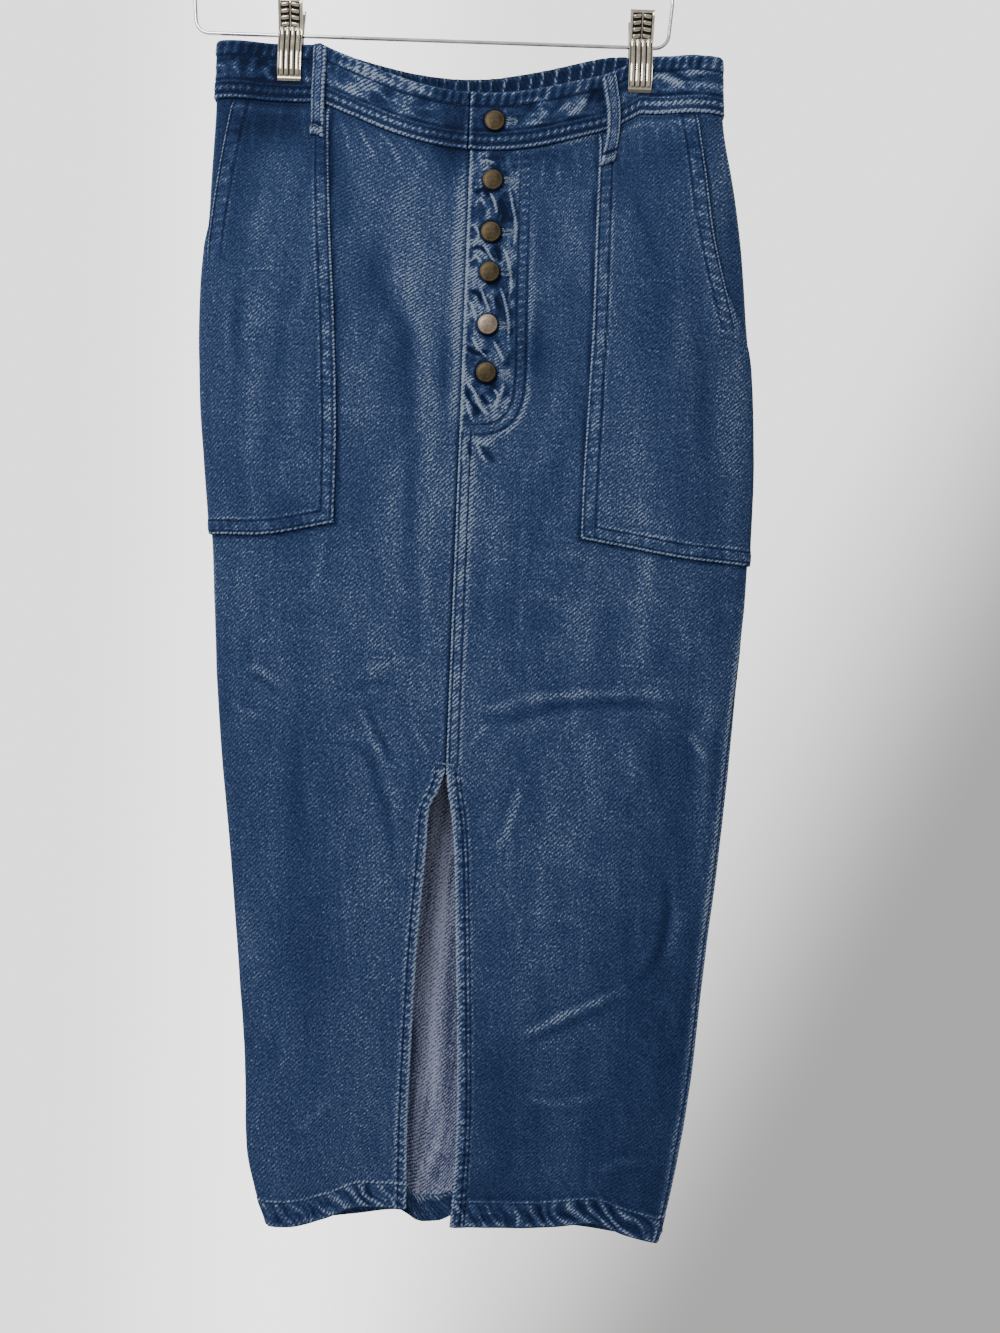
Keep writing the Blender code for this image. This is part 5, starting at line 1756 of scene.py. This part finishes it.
def metal(name):
    """Plated or brushed metal that is a little stained and unevenly polished, with a
    painted dark reflection at the rim where it turns away from the view, and with
    grime where its tone attribute is low."""
    kind = METALS[name]
    tree = Tree(bpy.data.materials.new(name))
    local = tree.place()
    stain = tree.noise(local, kind.scale, 4.0, 0.6)
    fine = tree.noise(local, kind.scale * 9, 2.0)
    value = tree.weighted(stain, (fine, 0.35))
    facing = tree.add("ShaderNodeLayerWeight", {"Blend": 0.5}).outputs["Facing"]
    colour = tree.colours(value, (0.3, *kind.dark), (0.7, *kind.light))
    # A painted dark reflection where the surface turns away from the view.
    colour = tree.mix(tree.between(facing, 0.35, 0.85, 0.0, 1.0), colour, (*kind.edge, 1))
    if kind.grime:
        hollow = tree.between(tree.wear_and_shade(), 0.25, 0.75, 1.0, 0.0)
        colour = tree.mix(hollow, colour, (*kind.grime, 1))
    return tree.finish(
        Base_Color=colour,
        Metallic=1.0,
        Roughness=tree.math("MULTIPLY_ADD", stain, kind.rough - kind.smooth, kind.smooth),
        Normal=tree.bump(0.12, 0.0001, fine),
    )


def floor_finish():
    tree = Tree(bpy.data.materials.new("pale_floor"))
    cloudy = tree.noise(tree.place(), 2.5, 3.0)
    return tree.finish(Base_Color=tree.colours(cloudy, *FLOOR_STOPS), Roughness=0.85)


# ---------------------------------------------------------------- stage

CAMERA_BACK_M = 0.9
CAMERA_X_M = 0.0696
CAMERA_Z_M = -0.6459
VIEW_HEIGHT_M = 1.0397
ROLL_DEGREES = -1.95
SENSOR = 36.0
FLOOR_Z_M = -1.95
FLOOR_HALF_M = 1.3
FLOOR_SIDES = 96
ROOM_LIGHT = 0.85
ROOM_SHADE = 0.22
WINDOW_SIDE = (-0.48, -0.68, 0.55)
WALL_LIGHT = 2.05
WALL_SHADE = 0.5
WALL_GLOW = 0.8


def set_stage():
    lens = bpy.data.cameras.new("camera")
    lens.sensor_fit = "VERTICAL"
    lens.sensor_height = SENSOR
    lens.lens = SENSOR * CAMERA_BACK_M / VIEW_HEIGHT_M
    lens.clip_start = 0.05
    camera = bpy.data.objects.new("camera", lens)
    camera.location = (CAMERA_X_M, -CAMERA_BACK_M, CAMERA_Z_M)
    camera.rotation_euler = (math.pi / 2, math.radians(ROLL_DEGREES), 0)
    bpy.context.scene.collection.objects.link(camera)
    bpy.context.scene.camera = camera

    turns = np.linspace(0, 2 * math.pi, FLOOR_SIDES, endpoint=False)
    ring = [(FLOOR_HALF_M * math.cos(a), FLOOR_HALF_M * math.sin(a), FLOOR_Z_M) for a in turns]
    floor = new_object("floor", np.array(ring), [list(range(FLOOR_SIDES))], [floor_finish()])

    bpy.context.scene.world = studio()
    add_light("key", (-0.72, -1.55, 0.50), 0.8, 26, (1.0, 0.985, 0.97))
    add_light("fill", (1.3, -1.4, -0.2), 1.4, 2, (0.94, 0.97, 1.0))


def studio():
    """A pale wall all round, brightest behind the object and dim at its lower right."""
    tree = Tree(bpy.data.worlds.new("studio"), "Background")
    direction = tree.add("ShaderNodeTexCoord").outputs["Generated"]
    parts = tree.add("ShaderNodeSeparateXYZ", {0: direction}).outputs
    depth = tree.math("MAXIMUM", parts["Y"], 0.2)
    aside = tree.math("DIVIDE", parts["X"], depth)
    rise = tree.math("DIVIDE", parts["Z"], depth)
    slope = tree.math("MULTIPLY_ADD", aside, 0.9, tree.math("MULTIPLY", rise, -0.44))
    wall = tree.between(slope, 0.12, 0.42, WALL_LIGHT, WALL_SHADE)
    off_glow = tree.math("ABSOLUTE", tree.math("ADD", aside, 0.18))
    wall = tree.math("ADD", wall, tree.between(off_glow, 0.0, 0.2, WALL_GLOW, 0.0))
    behind = tree.between(parts["Y"], -0.2, 0.5, 0.0, 1.0)
    inputs = {0: direction, 1: WINDOW_SIDE}
    towards = tree.add("ShaderNodeVectorMath", inputs, operation="DOT_PRODUCT").outputs["Value"]
    room = tree.between(towards, -0.3, 0.9, ROOM_SHADE, ROOM_LIGHT)
    strength = tree.math("MULTIPLY_ADD", behind, tree.math("SUBTRACT", wall, room), room)
    return tree.finish(Color=(1.0, 0.99, 0.985, 1), Strength=strength)


def add_light(name, where, size, power, colour):
    data = bpy.data.lights.new(name, "AREA")
    data.size = size
    data.energy = power
    data.color = colour
    light = bpy.data.objects.new(name, data)
    light.location = where
    aim = Vector((CENTRE_X_M, 0, CAMERA_Z_M)) - light.location
    light.rotation_euler = aim.to_track_quat("-Z", "Y").to_euler()
    bpy.context.scene.collection.objects.link(light)


# ---------------------------------------------------------------- the object

DENIM_SHADE = 0.065
BAND_SHADE = 0.085
PALE_BUTTON = 5


def fit(piece, node=None):
    """Fixes a piece to the part, in place of a node of it if one is named."""
    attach(piece, "root")
    if node:
        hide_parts(node)


def sew():
    """All the cloth, by the node that each piece takes the place of."""
    blue = denim("washed_denim", DENIM_SHADE)
    inside = wrong_side("denim_inside")
    band_blue = denim("waistband_denim", BAND_SHADE)
    pocket_blue = denim("pocket_denim", DENIM_SHADE)
    pieces = {}
    for side in SIDES:
        pieces[f"front_{side}_panel"] = (front_panel(side, blue, inside), "denim")
        pieces[f"waistband_front_{side}"] = (front_band(side, band_blue), "denim_waistband")
        pieces[f"pocket_{side}"] = (pocket(side, pocket_blue), "denim_pocket")
    pieces["back_panel"] = (back_panel(blue, inside), "denim")
    pieces["waistband_back"] = (elastic_band(band_blue), "denim_waistband")
    pieces["fly_underlay"] = (underlay(blue), "denim")
    for loop in LOOPS:
        pieces[f"belt_loop_{loop.side}"] = (belt_loop(loop, band_blue), "denim_waistband")
    for node, (piece, slot) in pieces.items():
        fit(piece, node)
    return {node: piece for node, (piece, _) in pieces.items()}


def stitch():
    blue = thread_finish("tonal_thread", TONAL_STOPS)
    pale = thread_finish("frayed_thread", FRAYED_STOPS)
    for name, fills, finish, radius, slot in (
        ("stitches_panels", [stitch_panels], blue, 0.33, "denim"),
        ("stitches_waistband", [stitch_bands], blue, 0.30, "denim_waistband"),
        ("stitches_pockets", [stitch_pockets], blue, 0.33, "denim_pocket"),
        ("stitches_loops", [stitch_loops], blue, 0.28, "denim_waistband"),
        ("buttonhole_threads", [buttonholes, bar_tack], pale, 0.24, "denim"),
    ):
        thread = Thread()
        for fill in fills:
            fill(thread)
        fit(thread.make(name, finish, radius))


def hang():
    """The hanger, its clips and the buttons."""
    chrome, nickel, brass, worn_brass = map(metal, METALS)
    for node, piece in hanger(chrome).items():
        fit(piece, node)
    for side, clip_x in CLIP_XS.items():
        for face, facing in (("front", -1), ("back", 1)):
            made = jaw(f"{side}_jaw_{face}", clip_x, facing, nickel)
            fit(made, f"clip_{side}_{face}_jaw")
        fit(spring(f"{side}_coil", clip_x, nickel), f"clip_{side}_spring")
    for number in range(1, len(BUTTON_DROPS) + 1):
        made = button(number, worn_brass if number == PALE_BUTTON else brass)
        fit(made, f"button_{number}")


# The cut of what shows of each piece of cloth: width and length in metres, flat area in
# square metres, how it is held, and the piece that it hangs from.
Cut = namedtuple("Cut", "width length area held rests_on")


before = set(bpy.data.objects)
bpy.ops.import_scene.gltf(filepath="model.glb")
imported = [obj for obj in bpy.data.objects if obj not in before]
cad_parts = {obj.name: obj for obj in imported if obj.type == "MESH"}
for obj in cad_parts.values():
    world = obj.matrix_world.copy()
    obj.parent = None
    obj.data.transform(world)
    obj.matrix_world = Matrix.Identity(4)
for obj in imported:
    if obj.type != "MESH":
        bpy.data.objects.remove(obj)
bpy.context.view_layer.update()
set_stage()
cloth_pieces = sew()
stitch()
hang()
